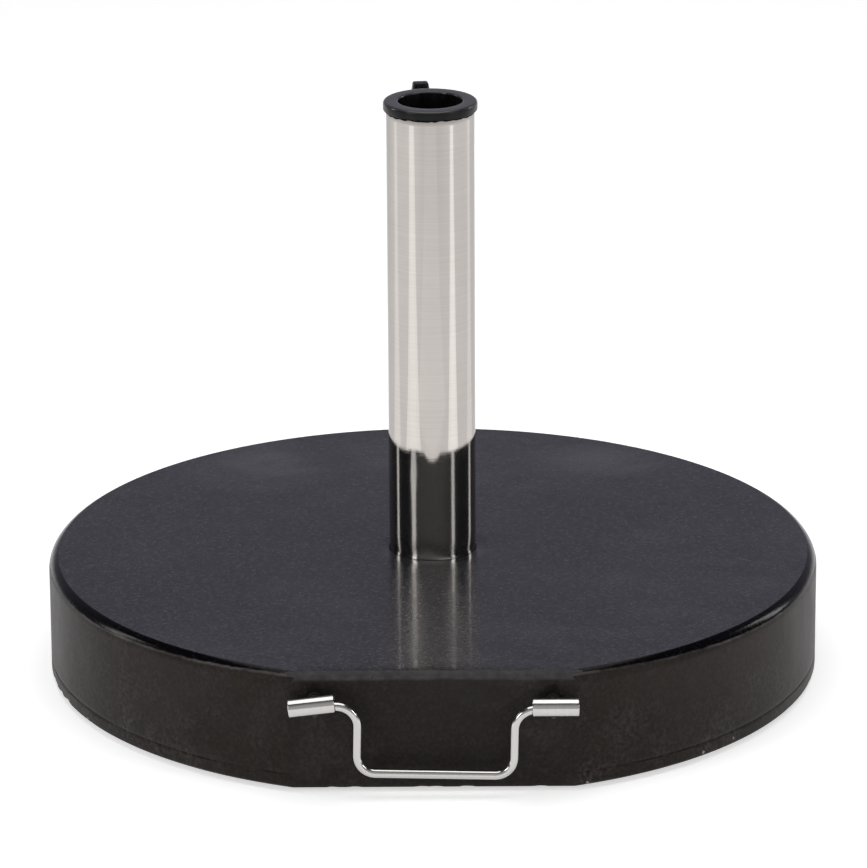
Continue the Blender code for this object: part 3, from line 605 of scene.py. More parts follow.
def stone_cut_material(name):
    """The sawn flat: matt brown-black, with a pale worn upper edge and near-black ragged patches round the
    studs.
    """
    mat, place = fresh_material(name)
    noises = stone_grain(place)
    height = axis_part(place, "Z")
    colour = matt_stone(
        place, noises, (0.0080, 0.0062, 0.0056), (0.0120, 0.0096, 0.0090), 0.45, (0.0160, 0.0140, 0.0170),
        (0.0180, 0.0152, 0.0145),
    )
    scuff = times(remap(noises.patch, 0.50, 0.76), remap(noises.grit, 0.38, 0.62, 0.2, 0.6))
    colour = blend_colour(scuff, colour, (0.050, 0.044, 0.041))
    ragged = plus(height, remap(noises.patch, 0.3, 0.7, -0.0006, 0.0006))
    upper = remap(ragged, SLAB_TOP - CUT_ROUND - 0.0008, SLAB_TOP - CUT_ROUND + 0.0016, smooth=True)
    pale = blend_colour(remap(noises.medium, 0.38, 0.66), (0.037, 0.0350, 0.0362), (0.056, 0.054, 0.055))
    colour = blend_colour(upper, colour, pale)
    # Near-black ragged patches round the places where the studs enter.
    for side in SIDES:
        x, z = plug_place(side)
        edge = plus(distance_to(place, (x, CUT_FACE_Y, z)), remap(noises.medium, 0.3, 0.7, -0.0035, 0.0035))
        spot = times(remap(edge, 0.0095, 0.0070), remap(noises.grit, 0.35, 0.60, 0.30, 1.0))
        colour = blend_colour(spot, colour, (0.0016, 0.0015, 0.0015))
    colour = flecked(noises, colour, 0.075, (0.10, 0.094, 0.090))
    rough = remap(noises.patch, 0.3, 0.75, 0.50, 0.62)
    relief = stone_relief(noises, 0.00009, 0.00005, 0.00002)
    tint = (1.0, 0.92, 0.88, 1.0)
    return finish_shader(mat, colour, rough, relief, Specular_IOR_Level=0.15, Specular_Tint=tint)


def steel_material(name, axis, low, high, rough_low, rough_high, brushing, edge=1.0, strength=0.35):
    """Brushed stainless steel with fine scratches round an axis and faint handling marks."""
    mat, place = fresh_material(name)
    stretch = {"X": (brushing, 14.0, 14.0), "Y": (14.0, brushing, 14.0), "Z": (14.0, 14.0, brushing)}[axis]
    lines = grain(scaled(place, stretch), 1.0, 5.0, 0.7)
    cloud = grain(place, 26.0, 4.0, 0.6, 0.4)
    marks = grain(scaled(place, (90.0, 90.0, 260.0)), 1.0, 3.0, 0.55, 1.2)
    tone = plus(times(lines, 0.65), times(cloud, 0.35))
    colour = blend_colour(remap(tone, 0.36, 0.64), low, high)
    dull = remap(marks, 0.60, 0.75)
    rough = remap(tone, 0.34, 0.66, rough_low, rough_high)
    rough = plus(rough, times(dull, 0.05))
    relief = bump(lines, 0.00002, strength)
    return finish_shader(mat, colour, rough, relief, Metallic=1.0, Specular_Tint=(edge, edge, edge, 1.0))


def zinc_material(name):
    """Zinc-plated steel: faint spangle, a bluish grey with dull patches."""
    mat, place = fresh_material(name)
    patches = grain(place, 180.0, 4.0, 0.65, 0.8)
    pores = grain(place, 2600.0, 3.0, 0.6)
    colour = blend_colour(remap(patches, 0.35, 0.68), (0.44, 0.45, 0.47), (0.62, 0.63, 0.64))
    stain = remap(grain(place, 70.0, 5.0, 0.7, 1.0), 0.60, 0.78, 0.0, 0.5)
    colour = blend_colour(stain, colour, (0.30, 0.28, 0.25))
    rough = remap(patches, 0.3, 0.7, 0.30, 0.48)
    return finish_shader(mat, colour, rough, bump(pores, 0.00003, 0.4), Metallic=1.0)


def plastic_material(name, low, high, rough_low, rough_high, texture, depth, specular=0.5):
    """Moulded plastic with a fine spark-eroded texture and slightly shinier rubbed patches."""
    mat, place = fresh_material(name)
    cloud = grain(place, 55.0, 4.0, 0.6, 0.5)
    leather = grain(place, texture, 4.0, 0.65)
    colour = blend_colour(remap(cloud, 0.35, 0.65), low, high)
    dust = remap(grain(place, 1400.0, 2.0, 0.5), 0.66, 0.80, 0.0, 0.25)
    colour = blend_colour(dust, colour, tuple(3.0 * value + 0.01 for value in high))
    rough = remap(cloud, 0.3, 0.7, rough_low, rough_high)
    return finish_shader(mat, colour, rough, bump(leather, depth, 0.6), Specular_IOR_Level=specular)


def floor_material():
    """A pale floor that glows a little, like paper lit from below, so that the shadows stay faint."""
    mat, place = fresh_material("studio_floor")
    colour = blend_colour(grain(place, 1.5, 3.0, 0.5), (0.80, 0.80, 0.80), (0.83, 0.83, 0.83))
    wire(mat.node_tree.nodes["Principled BSDF"].inputs["Emission Color"], colour)
    return finish_shader(mat, colour, 0.9, Specular_IOR_Level=0.1, Emission_Strength=FLOOR_GLOW)


STEELS = {     # material, axis the brushing runs round, two colours, roughness, brushing, edge tint, bump
    "tube": (
        "stainless_tube", "Z", (0.415, 0.390, 0.366), (0.472, 0.444, 0.416), 0.025, 0.045, 2600.0, 0.74, 0.18,
    ),
    "drawn": ("stainless_drawn", "X", (0.49, 0.475, 0.46), (0.565, 0.55, 0.535), 0.12, 0.20, 3200.0),
    "blackened": ("blackened_steel", "Y", (0.035, 0.034, 0.033), (0.065, 0.063, 0.060), 0.38, 0.52, 1500.0),
    "brass": ("insert_brass", "Z", (0.55, 0.40, 0.18), (0.66, 0.50, 0.25), 0.28, 0.40, 2000.0),
}
PLASTICS = {   # material, two colours, roughness, grain of the texture, its depth, specular level
    # The collar plastic comes in two copies: a paler one on the flange top, painted lighter as lit, and a
    # much darker one on the sides and in the hole, painted shade.
    "collar": (
        "collar_plastic_lit_top", (0.028, 0.0278, 0.027), (0.036, 0.0357, 0.0348), 0.18, 0.28, 1500.0, 0.00003, 0.46,
    ),
    "collar_shaded_side": (
        "collar_shaded_side", (0.004, 0.004, 0.0042), (0.008, 0.008, 0.0082), 0.22, 0.34, 1500.0, 0.00003, 0.15,
    ),
    # Near-black plastic of the skirt under the flange: a painted shadow line.
    "flange_shadow_line": (
        "painted_shadow_under_flange", (0.001, 0.001, 0.001), (0.0025, 0.0025, 0.0025), 0.55, 0.70, 1500.0, 0.00003, 0.04,
    ),
    "grip": (
        "grip_plastic", (0.004, 0.004, 0.0042), (0.0075, 0.0075, 0.0078), 0.20, 0.30, 1100.0, 0.00003, 0.26,
    ),
    "wheel": ("wheel_plastic", (0.011, 0.011, 0.0115), (0.018, 0.0178, 0.0175), 0.42, 0.55, 900.0, 0.00005),
    "nylon": ("nylon_plastic", (0.26, 0.26, 0.25), (0.33, 0.33, 0.32), 0.45, 0.58, 800.0, 0.00004),
    "rubber": ("foot_rubber", (0.014, 0.014, 0.014), (0.026, 0.025, 0.024), 0.72, 0.88, 700.0, 0.00006, 0.3),
}
MATERIALS = {
    "stone_top": stone_top_material("stone_top"),
    "stone_side": stone_side_material("stone_side"),
    "stone_cut": stone_cut_material("stone_cut_face"),
    "zinc": zinc_material("zinc_plate"),
    **{look: steel_material(*facts) for look, facts in STEELS.items()},
    **{look: plastic_material(*facts) for look, facts in PLASTICS.items()},
}


def dress(obj, *looks):
    """Give an object its materials, in slot order."""
    obj.data.materials.clear()
    for look in looks:
        obj.data.materials.append(MATERIALS[look])
    return obj


def finish_piece(obj, look, node=None, body="base", angle=35.0):
    """Dress a finished mesh, let it ride on its body and stand for its CAD node."""
    smoothed(dress(obj, look), angle)
    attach(obj, body)
    if node:
        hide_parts(node)


# ---- slab
ARC_STEPS = 640
CHORD_STEPS = 220
MOULD_LINE_Z = FOOT_HEIGHT + 0.0083


def slab_levels():
    """(inset of the round side, inset of the cut, height) from the underside up to the top face."""
    levels = [(SLAB_BOTTOM_CHAMFER, 0.0007, FOOT_HEIGHT)]
    for share in (0.35, 0.7, 1.0):
        inset = SLAB_BOTTOM_CHAMFER * (1.0 - math.sin(share * math.pi / 2.0))
        levels.append((inset, 0.0007 * (1.0 - share), FOOT_HEIGHT + SLAB_BOTTOM_CHAMFER * share))
    for height in (0.0022, 0.0031, 0.0042, 0.0055):
        levels.append((0.0, 0.0, FOOT_HEIGHT + height))
    for inset, offset in ((0.0, -0.0007), (0.00045, -0.0002), (0.00045, 0.0002), (0.0, 0.0009)):
        levels.append((inset, 0.0, MOULD_LINE_Z + offset))
    flank_top = SLAB_TOP - RIM_DROP
    levels += [(0.0, 0.0, z) for z in spread(MOULD_LINE_Z + 0.0009, flank_top, 24)]
    for i in range(15):
        angle = SLAB_CREASE * i / 14
        z = flank_top + SLAB_TOP_ROUND * math.sin(angle)
        above = max(0.0, z - (SLAB_TOP - CUT_ROUND))
        cut = CUT_ROUND - math.sqrt(max(0.0, CUT_ROUND ** 2 - above ** 2))
        levels.append((SLAB_TOP_ROUND * (1.0 - math.cos(angle)), cut, z))
    return levels


def slab_ring(side_inset, cut_inset, height):
    """One closed ring of the slab's outline: along the cut from left to right, then round the back."""
    radius = SLAB_RADIUS - side_inset
    y = CUT_FACE_Y + cut_inset
    corner = math.sqrt(radius ** 2 - y ** 2)
    start = math.atan2(y, corner)
    sweep = math.pi - 2.0 * start
    ring = [(-corner + 2.0 * corner * i / CHORD_STEPS, y, height) for i in range(CHORD_STEPS)]
    for i in range(ARC_STEPS):
        angle = start + sweep * i / ARC_STEPS
        ring.append((radius * math.cos(angle), radius * math.sin(angle), height))
    return ring


def toward_circle(ring, radius, share, height):
    """A ring part of the way from an outline towards a circle, keeping each point's angle."""
    moved = []
    for x, y, _ in ring:
        reach = math.hypot(x, y)
        scale = (reach + (radius - reach) * share) / reach
        moved.append((x * scale, y * scale, height))
    return moved


def slab_rings():
    levels = slab_levels()
    rings = [slab_ring(*level) for level in levels]
    top, bottom = rings[-1], rings[0]
    socket = TUBE_RADIUS + 0.00012
    edge_round = 0.0003
    shares = [i / 22 for i in range(1, 22)]
    rings += [toward_circle(top, socket + edge_round, share, SLAB_TOP) for share in shares]
    inner = [
        (socket + edge_round, SLAB_TOP), (socket + 0.3 * edge_round, SLAB_TOP - 0.3 * edge_round),
        (socket, SLAB_TOP - edge_round), (socket, SOCKET_FLOOR), (BOLT_HOLE_RADIUS, SOCKET_FLOOR),
        (BOLT_HOLE_RADIUS, COUNTERBORE_TOP), (COUNTERBORE_RADIUS, COUNTERBORE_TOP),
        (COUNTERBORE_RADIUS, FOOT_HEIGHT + edge_round), (COUNTERBORE_RADIUS + edge_round, FOOT_HEIGHT),
    ]
    rings += [toward_circle(top, radius, 1.0, height) for radius, height in inner]
    wide = COUNTERBORE_RADIUS + edge_round
    rings += [toward_circle(bottom, wide, 1.0 - share, FOOT_HEIGHT) for share in (i / 8 for i in range(1, 8))]
    return rings


def chips():
    """Small broken spots: (place, radius, depth), most of them on the lower front edge."""
    dice = random.Random(11)
    corner = math.sqrt(SLAB_RADIUS ** 2 - CUT_FACE_Y ** 2)
    front = (-0.070, 0.070)
    heights = (FOOT_HEIGHT, SLAB_TOP - 0.006)
    kinds = (   # how many, range along the edge, range of radius, depth per radius, place on the edge
        (6, front, (0.0012, 0.0026), 0.22, lambda x: (x, CUT_FACE_Y, FOOT_HEIGHT)),
        (30, (-0.35, math.pi + 0.35), (0.0010, 0.0026), 0.35,
         lambda angle: (SLAB_RADIUS * math.cos(angle), SLAB_RADIUS * math.sin(angle), FOOT_HEIGHT)),
        (9, heights, (0.0008, 0.0018), 0.4, lambda z: (-corner, CUT_FACE_Y, z)),
        (9, heights, (0.0008, 0.0018), 0.4, lambda z: (corner, CUT_FACE_Y, z)),
        (10, front, (0.0008, 0.0016), 0.25, lambda x: (x, CUT_FACE_Y, SLAB_TOP - 0.0030)),
    )
    found = []
    for count, reach, sizes, share, place in kinds:
        for _ in range(count):
            spot = Vector(place(dice.uniform(*reach)))
            size = dice.uniform(*sizes)
            found.append((spot, size, share * size))
    return found


def cell(point):
    """Which 10 mm cell a point is in."""
    return tuple(round(value / 0.01) for value in point)


def weathered(point, near):
    """Shallow hollows and chips: a point only ever moves into the slab."""
    x, y, z = point
    point = Vector(point)
    reach = math.hypot(x, y)
    if reach < 0.15:
        return point
    on_cut = y < CUT_FACE_Y + CUT_ROUND + 0.0001
    inward = Vector((0.0, 1.0, 0.0)) if on_cut else Vector((-x, -y, 0.0)) / reach
    if z < SLAB_TOP - 0.0005:
        hollow = 0.5 + 0.5 * noise.noise(point * 22.0)
        ripple = 0.5 + 0.5 * noise.noise(point * 130.0)
        point += inward * (0.00022 * hollow + 0.00007 * ripple)
    for centre, size, depth in near.get(cell((x, y, z)), ()):
        ragged = size * (1.0 + 0.45 * noise.noise(point * 900.0))
        gap = point - centre
        distance = math.hypot(0.45 * math.hypot(gap.x, gap.y), gap.z)
        if distance < ragged:
            up = Vector((0.0, 0.0, 0.5 if z < SLAB_TOP / 2.0 else -0.5))
            point += (inward + up) * depth * (1.0 - (distance / ragged) ** 2)
    return point


def make_slab():
    near = {}
    for spot in sorted(chips(), key=lambda chip: cell(chip[0])):
        for step in itertools.product((-1, 0, 1), repeat=3):
            near.setdefault(tuple(map(sum, zip(cell(spot[0]), step))), []).append(spot)
    slab = skin("slab", [[weathered(point, near) for point in ring] for ring in slab_rings()])
    weld(slab)
    outward(slab)
    low = (-RECESS_HALF_WIDTH, RECESS_FRONT_Y, -0.01)
    recess = block("recess", low, (RECESS_HALF_WIDTH, SLAB_RADIUS + 0.01, RECESS_TOP))
    cutters = [bevelled(recess, 0.003, 4)]
    for side, sign in SIDES.items():
        x, z = plug_place(side)
        hole = cylinder(f"plug_{side}", PLUG_RADIUS + GAP, -0.01, PLUG_HOLE_DEPTH, 48)
        cutters.append(placed(hole, at(x, CUT_FACE_Y, z) @ ALONG_Y))
        insert = cylinder(f"insert_{side}", INSERT_HOLE_RADIUS, -0.01, INSERT_HOLE_DEPTH, 32)
        cutters.append(placed(insert, at(sign * BRACKET_BOLT_X, WHEEL_Y, RECESS_TOP)))
    combine(slab, cutters, "DIFFERENCE")
    smoothed(dress(slab, "stone_side", "stone_top", "stone_cut"), 42.0)
    crease_radius = SLAB_RADIUS - SLAB_TOP_ROUND * (1.0 - math.cos(SLAB_CREASE))
    corners = slab.data.vertices
    for edge in slab.data.edges:
        ends = [corners[i].co for i in edge.vertices]
        if all(end.z > SLAB_TOP - 0.00001 and abs(end.xy.length - crease_radius) < 0.0003 for end in ends):
            edge.use_edge_sharp = True
    flat_reach = math.sqrt(SLAB_RADIUS ** 2 - CUT_FACE_Y ** 2) + 0.001
    for face in slab.data.polygons:
        centre = face.center
        if centre.z > SLAB_TOP - 0.00001 and face.normal.z > 0.9:
            face.material_index = 1
        elif centre.y < CUT_FACE_Y + CUT_ROUND + 0.0001 and abs(centre.x) < flat_reach:
            if face.normal.y < -0.1 and abs(face.normal.x) < 0.25:
                face.material_index = 2
    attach(slab, "base")
    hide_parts("base_slab")


FOOT_GROOVE_SHAPE = ((0.0006, 0.0), (0.0003, 0.0005), (-0.0003, 0.0005), (-0.0006, 0.0))


def make_feet():
    for name in ("front_left", "front_right", "back_left", "back_right"):
        low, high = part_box(f"rubber_foot_{name}")
        profile = [(0.0, high.z)] + upper_rim(FOOT_RADIUS, high.z, 0.0005, 3)
        profile += lower_rim(FOOT_RADIUS, 0.0, 0.0007, 4)
        for groove in FOOT_GROOVES:
            profile += [(groove + offset, depth) for offset, depth in FOOT_GROOVE_SHAPE]
        profile.append((0.0, 0.0))
        centre = (low + high) / 2.0
        foot = placed(turned(f"foot_{name}", profile, 72), at(centre.x, centre.y, 0.0))
        finish_piece(foot, "rubber", f"rubber_foot_{name}")


# ---- pole tube
def lobe(angle, centre, width):
    """A bump of height 1 round an angle; centre and width in degrees."""
    away = (math.degrees(angle) - centre + 180.0) % 360.0 - 180.0
    return math.exp(-((away / width) ** 2))


def make_tube():
    bore = TUBE_RADIUS - TUBE_WALL
    lip = 0.0002
    profile = upper_rim(TUBE_RADIUS, TUBE_TOP, lip, 3)
    foot = SLAB_TOP
    fine = foot + 0.012
    heights = spread(TUBE_TOP - lip, fine, 70) + [fine] + spread(fine, foot, 30) + [foot, TUBE_BOTTOM]
    profile += [(TUBE_RADIUS, z) for z in heights] + [(bore, TUBE_BOTTOM)]
    profile += [(bore, z) for z in spread(TUBE_BOTTOM, TUBE_TOP - lip, 24)]
    profile += [(bore, TUBE_TOP - lip), (bore + lip, TUBE_TOP)]

    def drawn(radius, z, angle):
        """Faint waves of a drawn tube, one dent, and a foot that narrows and flares again; it never grows."""
        if radius < TUBE_RADIUS - 2.0 * TINY or z > TUBE_TOP - 0.001:
            return radius, z
        fade = min(1.0, (TUBE_TOP - 0.001 - z) / 0.02)
        slow = noise.noise(Vector((1.3 * math.cos(angle), 1.3 * math.sin(angle), 13.0 * z)))
        dent = math.exp(-((z - foot - 0.052) / 0.011) ** 2) * lobe(angle, 246.0, 9.0)
        up = max(0.0, z - foot)
        flare = 0.0025 * (1.0 + 1.3 * lobe(angle, 262.0, 15.0))
        rise = min(1.0, up / flare)
        neck = (1.0 - (1.0 - rise) ** 2) * math.exp(-(max(0.0, up - flare) / 0.005) ** 2)
        return radius - fade * 0.00006 * (1.0 + slow) - 0.00013 * dent - 0.00028 * neck, z

    tube = turned("tube", profile, 192, ring=True, shape=drawn)
    window = cylinder("window", CLAMP_BORE_RADIUS + GAP, 0.0, 0.05, 40)
    combine(tube, [placed(window, CLAMP_FRAME @ ALONG_Y)], "DIFFERENCE")
    finish_piece(tube, "tube", "pole_tube", angle=50.0)


# ---- collar
COLLAR_RIBS = 22
SKIRT = 0.0010                      # a near-black band under the flange that hangs over the tube's end: a painted shadow line


def make_collar():
    spigot = TUBE_RADIUS - TUBE_WALL - GAP
    mouth = 0.0009
    profile = arc(COLLAR_HOLE_RADIUS + mouth, COLLAR_TOP - mouth, mouth, 180.0, 90.0, 6)
    profile += upper_rim(FLANGE_RADIUS, COLLAR_TOP, FLANGE_ROUND, 8)
    profile += lower_rim(FLANGE_RADIUS, COLLAR_SEAT, 0.0005, 4)
    profile += [(TUBE_RADIUS + 0.0006, COLLAR_SEAT), (TUBE_RADIUS + 0.0005, COLLAR_SEAT - SKIRT)]
    profile += [(TUBE_RADIUS + 0.00010, COLLAR_SEAT - SKIRT), (TUBE_RADIUS + 0.00010, COLLAR_SEAT)]
    profile += [(spigot, COLLAR_SEAT), (spigot, COLLAR_BOTTOM + 0.001), (spigot - 0.001, COLLAR_BOTTOM)]
    profile += [(COLLAR_HOLE_RADIUS, COLLAR_BOTTOM)]
    profile += [(COLLAR_HOLE_RADIUS, z) for z in spread(COLLAR_BOTTOM, COLLAR_TOP - mouth - 0.0004, 8)]
    profile.append((COLLAR_HOLE_RADIUS, COLLAR_TOP - mouth - 0.0004))

    def ribbed(radius, z, angle):
        # The skirt's lower edge, a painted shadow line, is made ragged.
        if abs(z - COLLAR_SEAT + SKIRT) < TINY and TUBE_RADIUS < radius < FLANGE_RADIUS - 0.0006:
            place = Vector((3.2 * math.cos(angle), 3.2 * math.sin(angle), 0.0))
            return radius, z + 0.0006 * noise.noise(place * 3.0)
        if radius > COLLAR_HOLE_RADIUS + TINY or z > COLLAR_TOP - mouth - 0.0001:
            return radius, z
        wave = 0.5 + 0.5 * math.cos(COLLAR_RIBS * angle)
        rise = min(1.0, (COLLAR_TOP - mouth - z) / 0.0060)
        return radius - 0.0006 * rise * wave ** 2, z

    collar = turned("collar", profile, 240, ring=True, shape=ribbed)
    finish_piece(collar, "collar", "reducer_collar", "collar", 50.0)
    collar.data.materials.append(MATERIALS["flange_shadow_line"])
    collar.data.materials.append(MATERIALS["collar_shaded_side"])
    for face in collar.data.polygons:
        reach, height = face.center.xy.length, face.center.z
        # Slot 1: the skirt under the flange, a painted shadow line.
        if reach > TUBE_RADIUS and COLLAR_SEAT - SKIRT - 0.001 < height < COLLAR_SEAT + TINY:
            face.material_index = 1
        # Slot 2: the darker copy of the collar plastic on the hole's wall and the flange's sides, painted
        # shade.
        elif reach < COLLAR_HOLE_RADIUS or (reach > TUBE_RADIUS and face.normal.z < 0.3):
            face.material_index = 2


# ---- clamp screw
def on_clamp(obj):
    return placed(obj, CLAMP_FRAME @ ALONG_Y)


def make_boss():
    low = TUBE_RADIUS - 0.002
    profile = [(0.0, BOSS_END_Y)] + upper_rim(BOSS_RADIUS, BOSS_END_Y, 0.0008, 4)
    profile += [(BOSS_RADIUS, low), (0.0, low)]
    boss = turned("boss", profile, 80)
    saddle = placed(cylinder("saddle", TUBE_RADIUS + GAP, -0.02, 0.02, 160), ALONG_Y.inverted())
    mouth, far = 0.0006, BOSS_END_Y + 0.01
    profile = [(0.0, far), (CLAMP_BORE_RADIUS + mouth + 0.01, far), (CLAMP_BORE_RADIUS + mouth, BOSS_END_Y)]
    profile += [(CLAMP_BORE_RADIUS, BOSS_END_Y - mouth), (CLAMP_BORE_RADIUS, 0.0), (0.0, 0.0)]
    combine(boss, [saddle, turned("bore", profile, 48)], "DIFFERENCE")
    finish_piece(on_clamp(boss), "drawn", "clamp_boss")


def make_boss_weld():
    """The bead that runs where the boss meets the round tube."""
    steps, around = 160, 10
    weld_radius = 0.0011
    rows = []
    for i in range(steps):
        angle = 2.0 * math.pi * i / steps
        reach = BOSS_RADIUS + 0.0003 + 0.00012 * math.sin(26.0 * angle)
        x, z = reach * math.cos(angle), reach * math.sin(angle)
        seat = math.sqrt((TUBE_RADIUS + 0.0003) ** 2 - x ** 2)
        outer = Vector((math.cos(angle), 0.0, math.sin(angle)))
        centre = Vector((x, seat + 0.35 * weld_radius, z))
        rows.append([])
        for k in range(around):
            turn = 2.0 * math.pi * k / around
            size = weld_radius * (0.9 + 0.1 * math.sin(26.0 * angle + 0.7 * math.sin(turn)))
            rise = Vector((0.0, size * math.sin(turn), 0.0))
            rows[-1].append(centre + outer * size * math.cos(turn) + rise)
    finish_piece(placed(skin("boss_weld", rows), CLAMP_FRAME), "zinc")


def make_screw():
    tip = PAD_START_Y + PAD_LENGTH + GAP
    shank = threaded_rod("clamp_thread", CLAMP_RADIUS, tip, CLAMP_HEAD_Y + 0.001, CLAMP_PITCH, 0.00065)
    screw = hex_head("clamp_bolt", CLAMP_HEAD_ACROSS, CLAMP_HEAD_Y, CLAMP_HEAD_END, low_chamfer=False)
    combine(screw, [shank], "UNION")
    finish_piece(on_clamp(screw), "zinc", "clamp_screw", "clamp_knob", 30.0)


def make_pad():
    pad_end = PAD_START_Y + PAD_LENGTH
    profile = [(0.0, pad_end)] + upper_rim(PAD_RADIUS, pad_end, 0.0003, 3)
    profile += lower_rim(PAD_RADIUS, PAD_START_Y, 0.0006, 4) + [(0.0, PAD_START_Y)]
    finish_piece(on_clamp(turned("pad", profile, 48)), "nylon", "clamp_pad", "pad")


def grip_outline(inset, start):
    """One arm of the grip in its own plane, from a start height to its rounded tip."""
    tip = GRIP_TIP_HALF_WIDTH - inset
    reach = GRIP_HALF_LENGTH - inset
    round_off = 0.30 * tip
    slope = (GRIP_TIP_HALF_WIDTH - GRIP_ROOT_HALF_WIDTH) / GRIP_HALF_LENGTH
    root = GRIP_ROOT_HALF_WIDTH + slope * start - inset
    right = [(root, start)] + arc(tip - round_off, reach - round_off, round_off, 0.0, 90.0, 8)
    return right + [(-x, z) for x, z in reversed(right)]


def make_grip():
    upper = grip_outline(0.0, 0.0)[1:-1]
    lower = [(-x, -z) for x, z in upper]
    outline = [(GRIP_ROOT_HALF_WIDTH, 0.0)] + upper + [(-GRIP_ROOT_HALF_WIDTH, 0.0)] + lower
    grip = outline_plate("grip", outline, GRIP_WING_THICKNESS)
    middle = GRIP_WING_Y + GRIP_WING_THICKNESS / 2.0
    placed(grip, at(0.0, middle, 0.0) @ FACING_FRONT)
    bevelled(grip, 0.0009, 4, 50.0)
    narrow = GRIP_HUB_RADIUS - GRIP_HUB_TAPER
    hub_profile = [(0.0, GRIP_BACK_Y)] + upper_rim(GRIP_HUB_RADIUS, GRIP_BACK_Y, 0.001, 4)
    hub_profile += [(GRIP_HUB_RADIUS, GRIP_WING_Y), (narrow + 0.0003, GRIP_HUB_Y + 0.0004)]
    hub_profile += [(narrow, GRIP_HUB_Y), (0.0, GRIP_HUB_Y)]
    combine(grip, [placed(turned("hub", hub_profile, 96), ALONG_Y)], "UNION")
    cutters = []
    start = GRIP_HUB_RADIUS + GRIP_WALL
    for name, roll in (("upper", 0.0), ("lower", math.pi)):
        pocket = outline_plate(f"pocket_{name}", grip_outline(GRIP_WALL, start), 2.0 * GRIP_POCKET_DEPTH)
        turn = Euler((math.pi / 2.0, roll, 0.0)).to_matrix().to_4x4()
        cutters.append(placed(pocket, at(0.0, GRIP_WING_Y, 0.0) @ turn))
    cutters.append(placed(cylinder("screw_way", CLAMP_BORE_RADIUS, 0.03, CLAMP_HEAD_Y + 0.001), ALONG_Y))
    nest = outline_plate("nest", hexagon(CLAMP_HEAD_ACROSS + 2.0 * GAP), CLAMP_HEAD_HEIGHT + 0.002)
    centre = (CLAMP_HEAD_Y - GAP + CLAMP_HEAD_END + 0.0017) / 2.0
    cutters.append(placed(nest, ALONG_Y @ at(0.0, 0.0, centre)))
    seat = cylinder("cap_seat", GRIP_CAP_RADIUS + GAP, CLAMP_HEAD_END + GAP, 0.07, 96)
    cutters.append(placed(seat, ALONG_Y))
    combine(grip, cutters, "DIFFERENCE")
    ribs = []
    for sign in (-1.0, 1.0):
        for offset in (-0.0017, 0.0017):
            near, far = sorted((sign * (start - 0.0005), sign * (GRIP_HALF_LENGTH - 0.0008)))
            low = (offset - 0.0003, GRIP_WING_Y + 0.0012, near)
            high = (offset + 0.0003, GRIP_WING_Y + GRIP_WING_THICKNESS - 0.001, far)
            ribs.append(block(f"rib_{sign:.0f}_{offset:.4f}", low, high))
    combine(grip, ribs, "UNION")
    finish_piece(placed(grip, CLAMP_FRAME), "grip", "clamp_grip", "clamp_knob", 30.0)


def make_grip_cap():
    low = CLAMP_HEAD_END + 2.0 * GAP
    high = low + GRIP_CAP_THICKNESS
    cap_profile = [(0.0, high), (0.0052, high - 0.00005), (0.0056, high - 0.00035), (0.0060, high - 0.00005)]
    cap_profile += [(GRIP_CAP_RADIUS - 0.0012, high - 0.0001)]
    cap_profile += arc(GRIP_CAP_RADIUS - 0.0007, high - 0.0008, 0.0007, 80.0, 0.0, 4)
    cap_profile += [(GRIP_CAP_RADIUS, low), (0.0, low)]
    finish_piece(on_clamp(turned("grip_plug", cap_profile, 96)), "grip", "grip_cap", "clamp_knob")


# ---- bail handle
def make_sleeve(side):
    sign = SIDES[side]
    x, z = plug_place(side)
    inner = -sign * (STUD_X - SLEEVE_CENTRE_X + SLEEVE_LENGTH / 2.0)
    low, high = sorted((inner, inner + sign * SLEEVE_LENGTH))
    tilt = Matrix.Rotation(SLEEVE_TILT[side], 4, "Y")
    place = at(x, HANDLE_Y, z) @ tilt
    sleeve = placed(rounded_rod(f"sleeve_{side}", SLEEVE_RADIUS, low, high, 0.0005, 96), place @ ALONG_X)
    bore_end = -sign * (STUD_RADIUS + 2.0 * GAP + 0.0004)
    bore_low, bore_high = sorted((bore_end, inner - sign * 0.005))
    bore = placed(cylinder("bore", SLEEVE_BORE_RADIUS, bore_low, bore_high, 72), place @ ALONG_X)
    stud_way = cylinder("stud_way", STUD_RADIUS + GAP, -2.0 * GAP, 0.02, 40)
    placed(stud_way, at(x, HANDLE_Y, z) @ ALONG_Y)
    grub_way = placed(cylinder("grub_way", GRUB_RADIUS + GAP, -0.012, 0.0, 32), place)
    combine(sleeve, [bore, stud_way, grub_way], "DIFFERENCE")
    finish_piece(sleeve, "drawn", f"handle_sleeve_{side}")


def make_stud(side):
    x, z = plug_place(side)
    stud_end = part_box(f"handle_stud_{side}")[1].y - HANDLE_Y
    stud = threaded_rod(f"stud_{side}", STUD_RADIUS, 0.0, stud_end, STUD_PITCH, 0.0004, 32)
    placed(stud, at(x, HANDLE_Y, z) @ ALONG_Y)
    finish_piece(stud, "blackened", f"handle_stud_{side}")


def bail_path():
    """Centre line of the bent wire in the plane of the bail, its pivot axis along local X."""
    upper = arc(BAIL_LEG_X + BAIL_UPPER_BEND, -BAIL_UPPER_BEND, BAIL_UPPER_BEND, 90.0, 180.0, 20)
    lower_x = BAIL_LEG_X - BAIL_LOWER_BEND
    lower = arc(lower_x, -BAIL_DROP + BAIL_LOWER_BEND, BAIL_LOWER_BEND, 0.0, -90.0, 20)
    right = [(BAIL_HALF_SPAN, 0.0)] + upper + lower
    return right + [(-x, z) for x, z in reversed(right)]


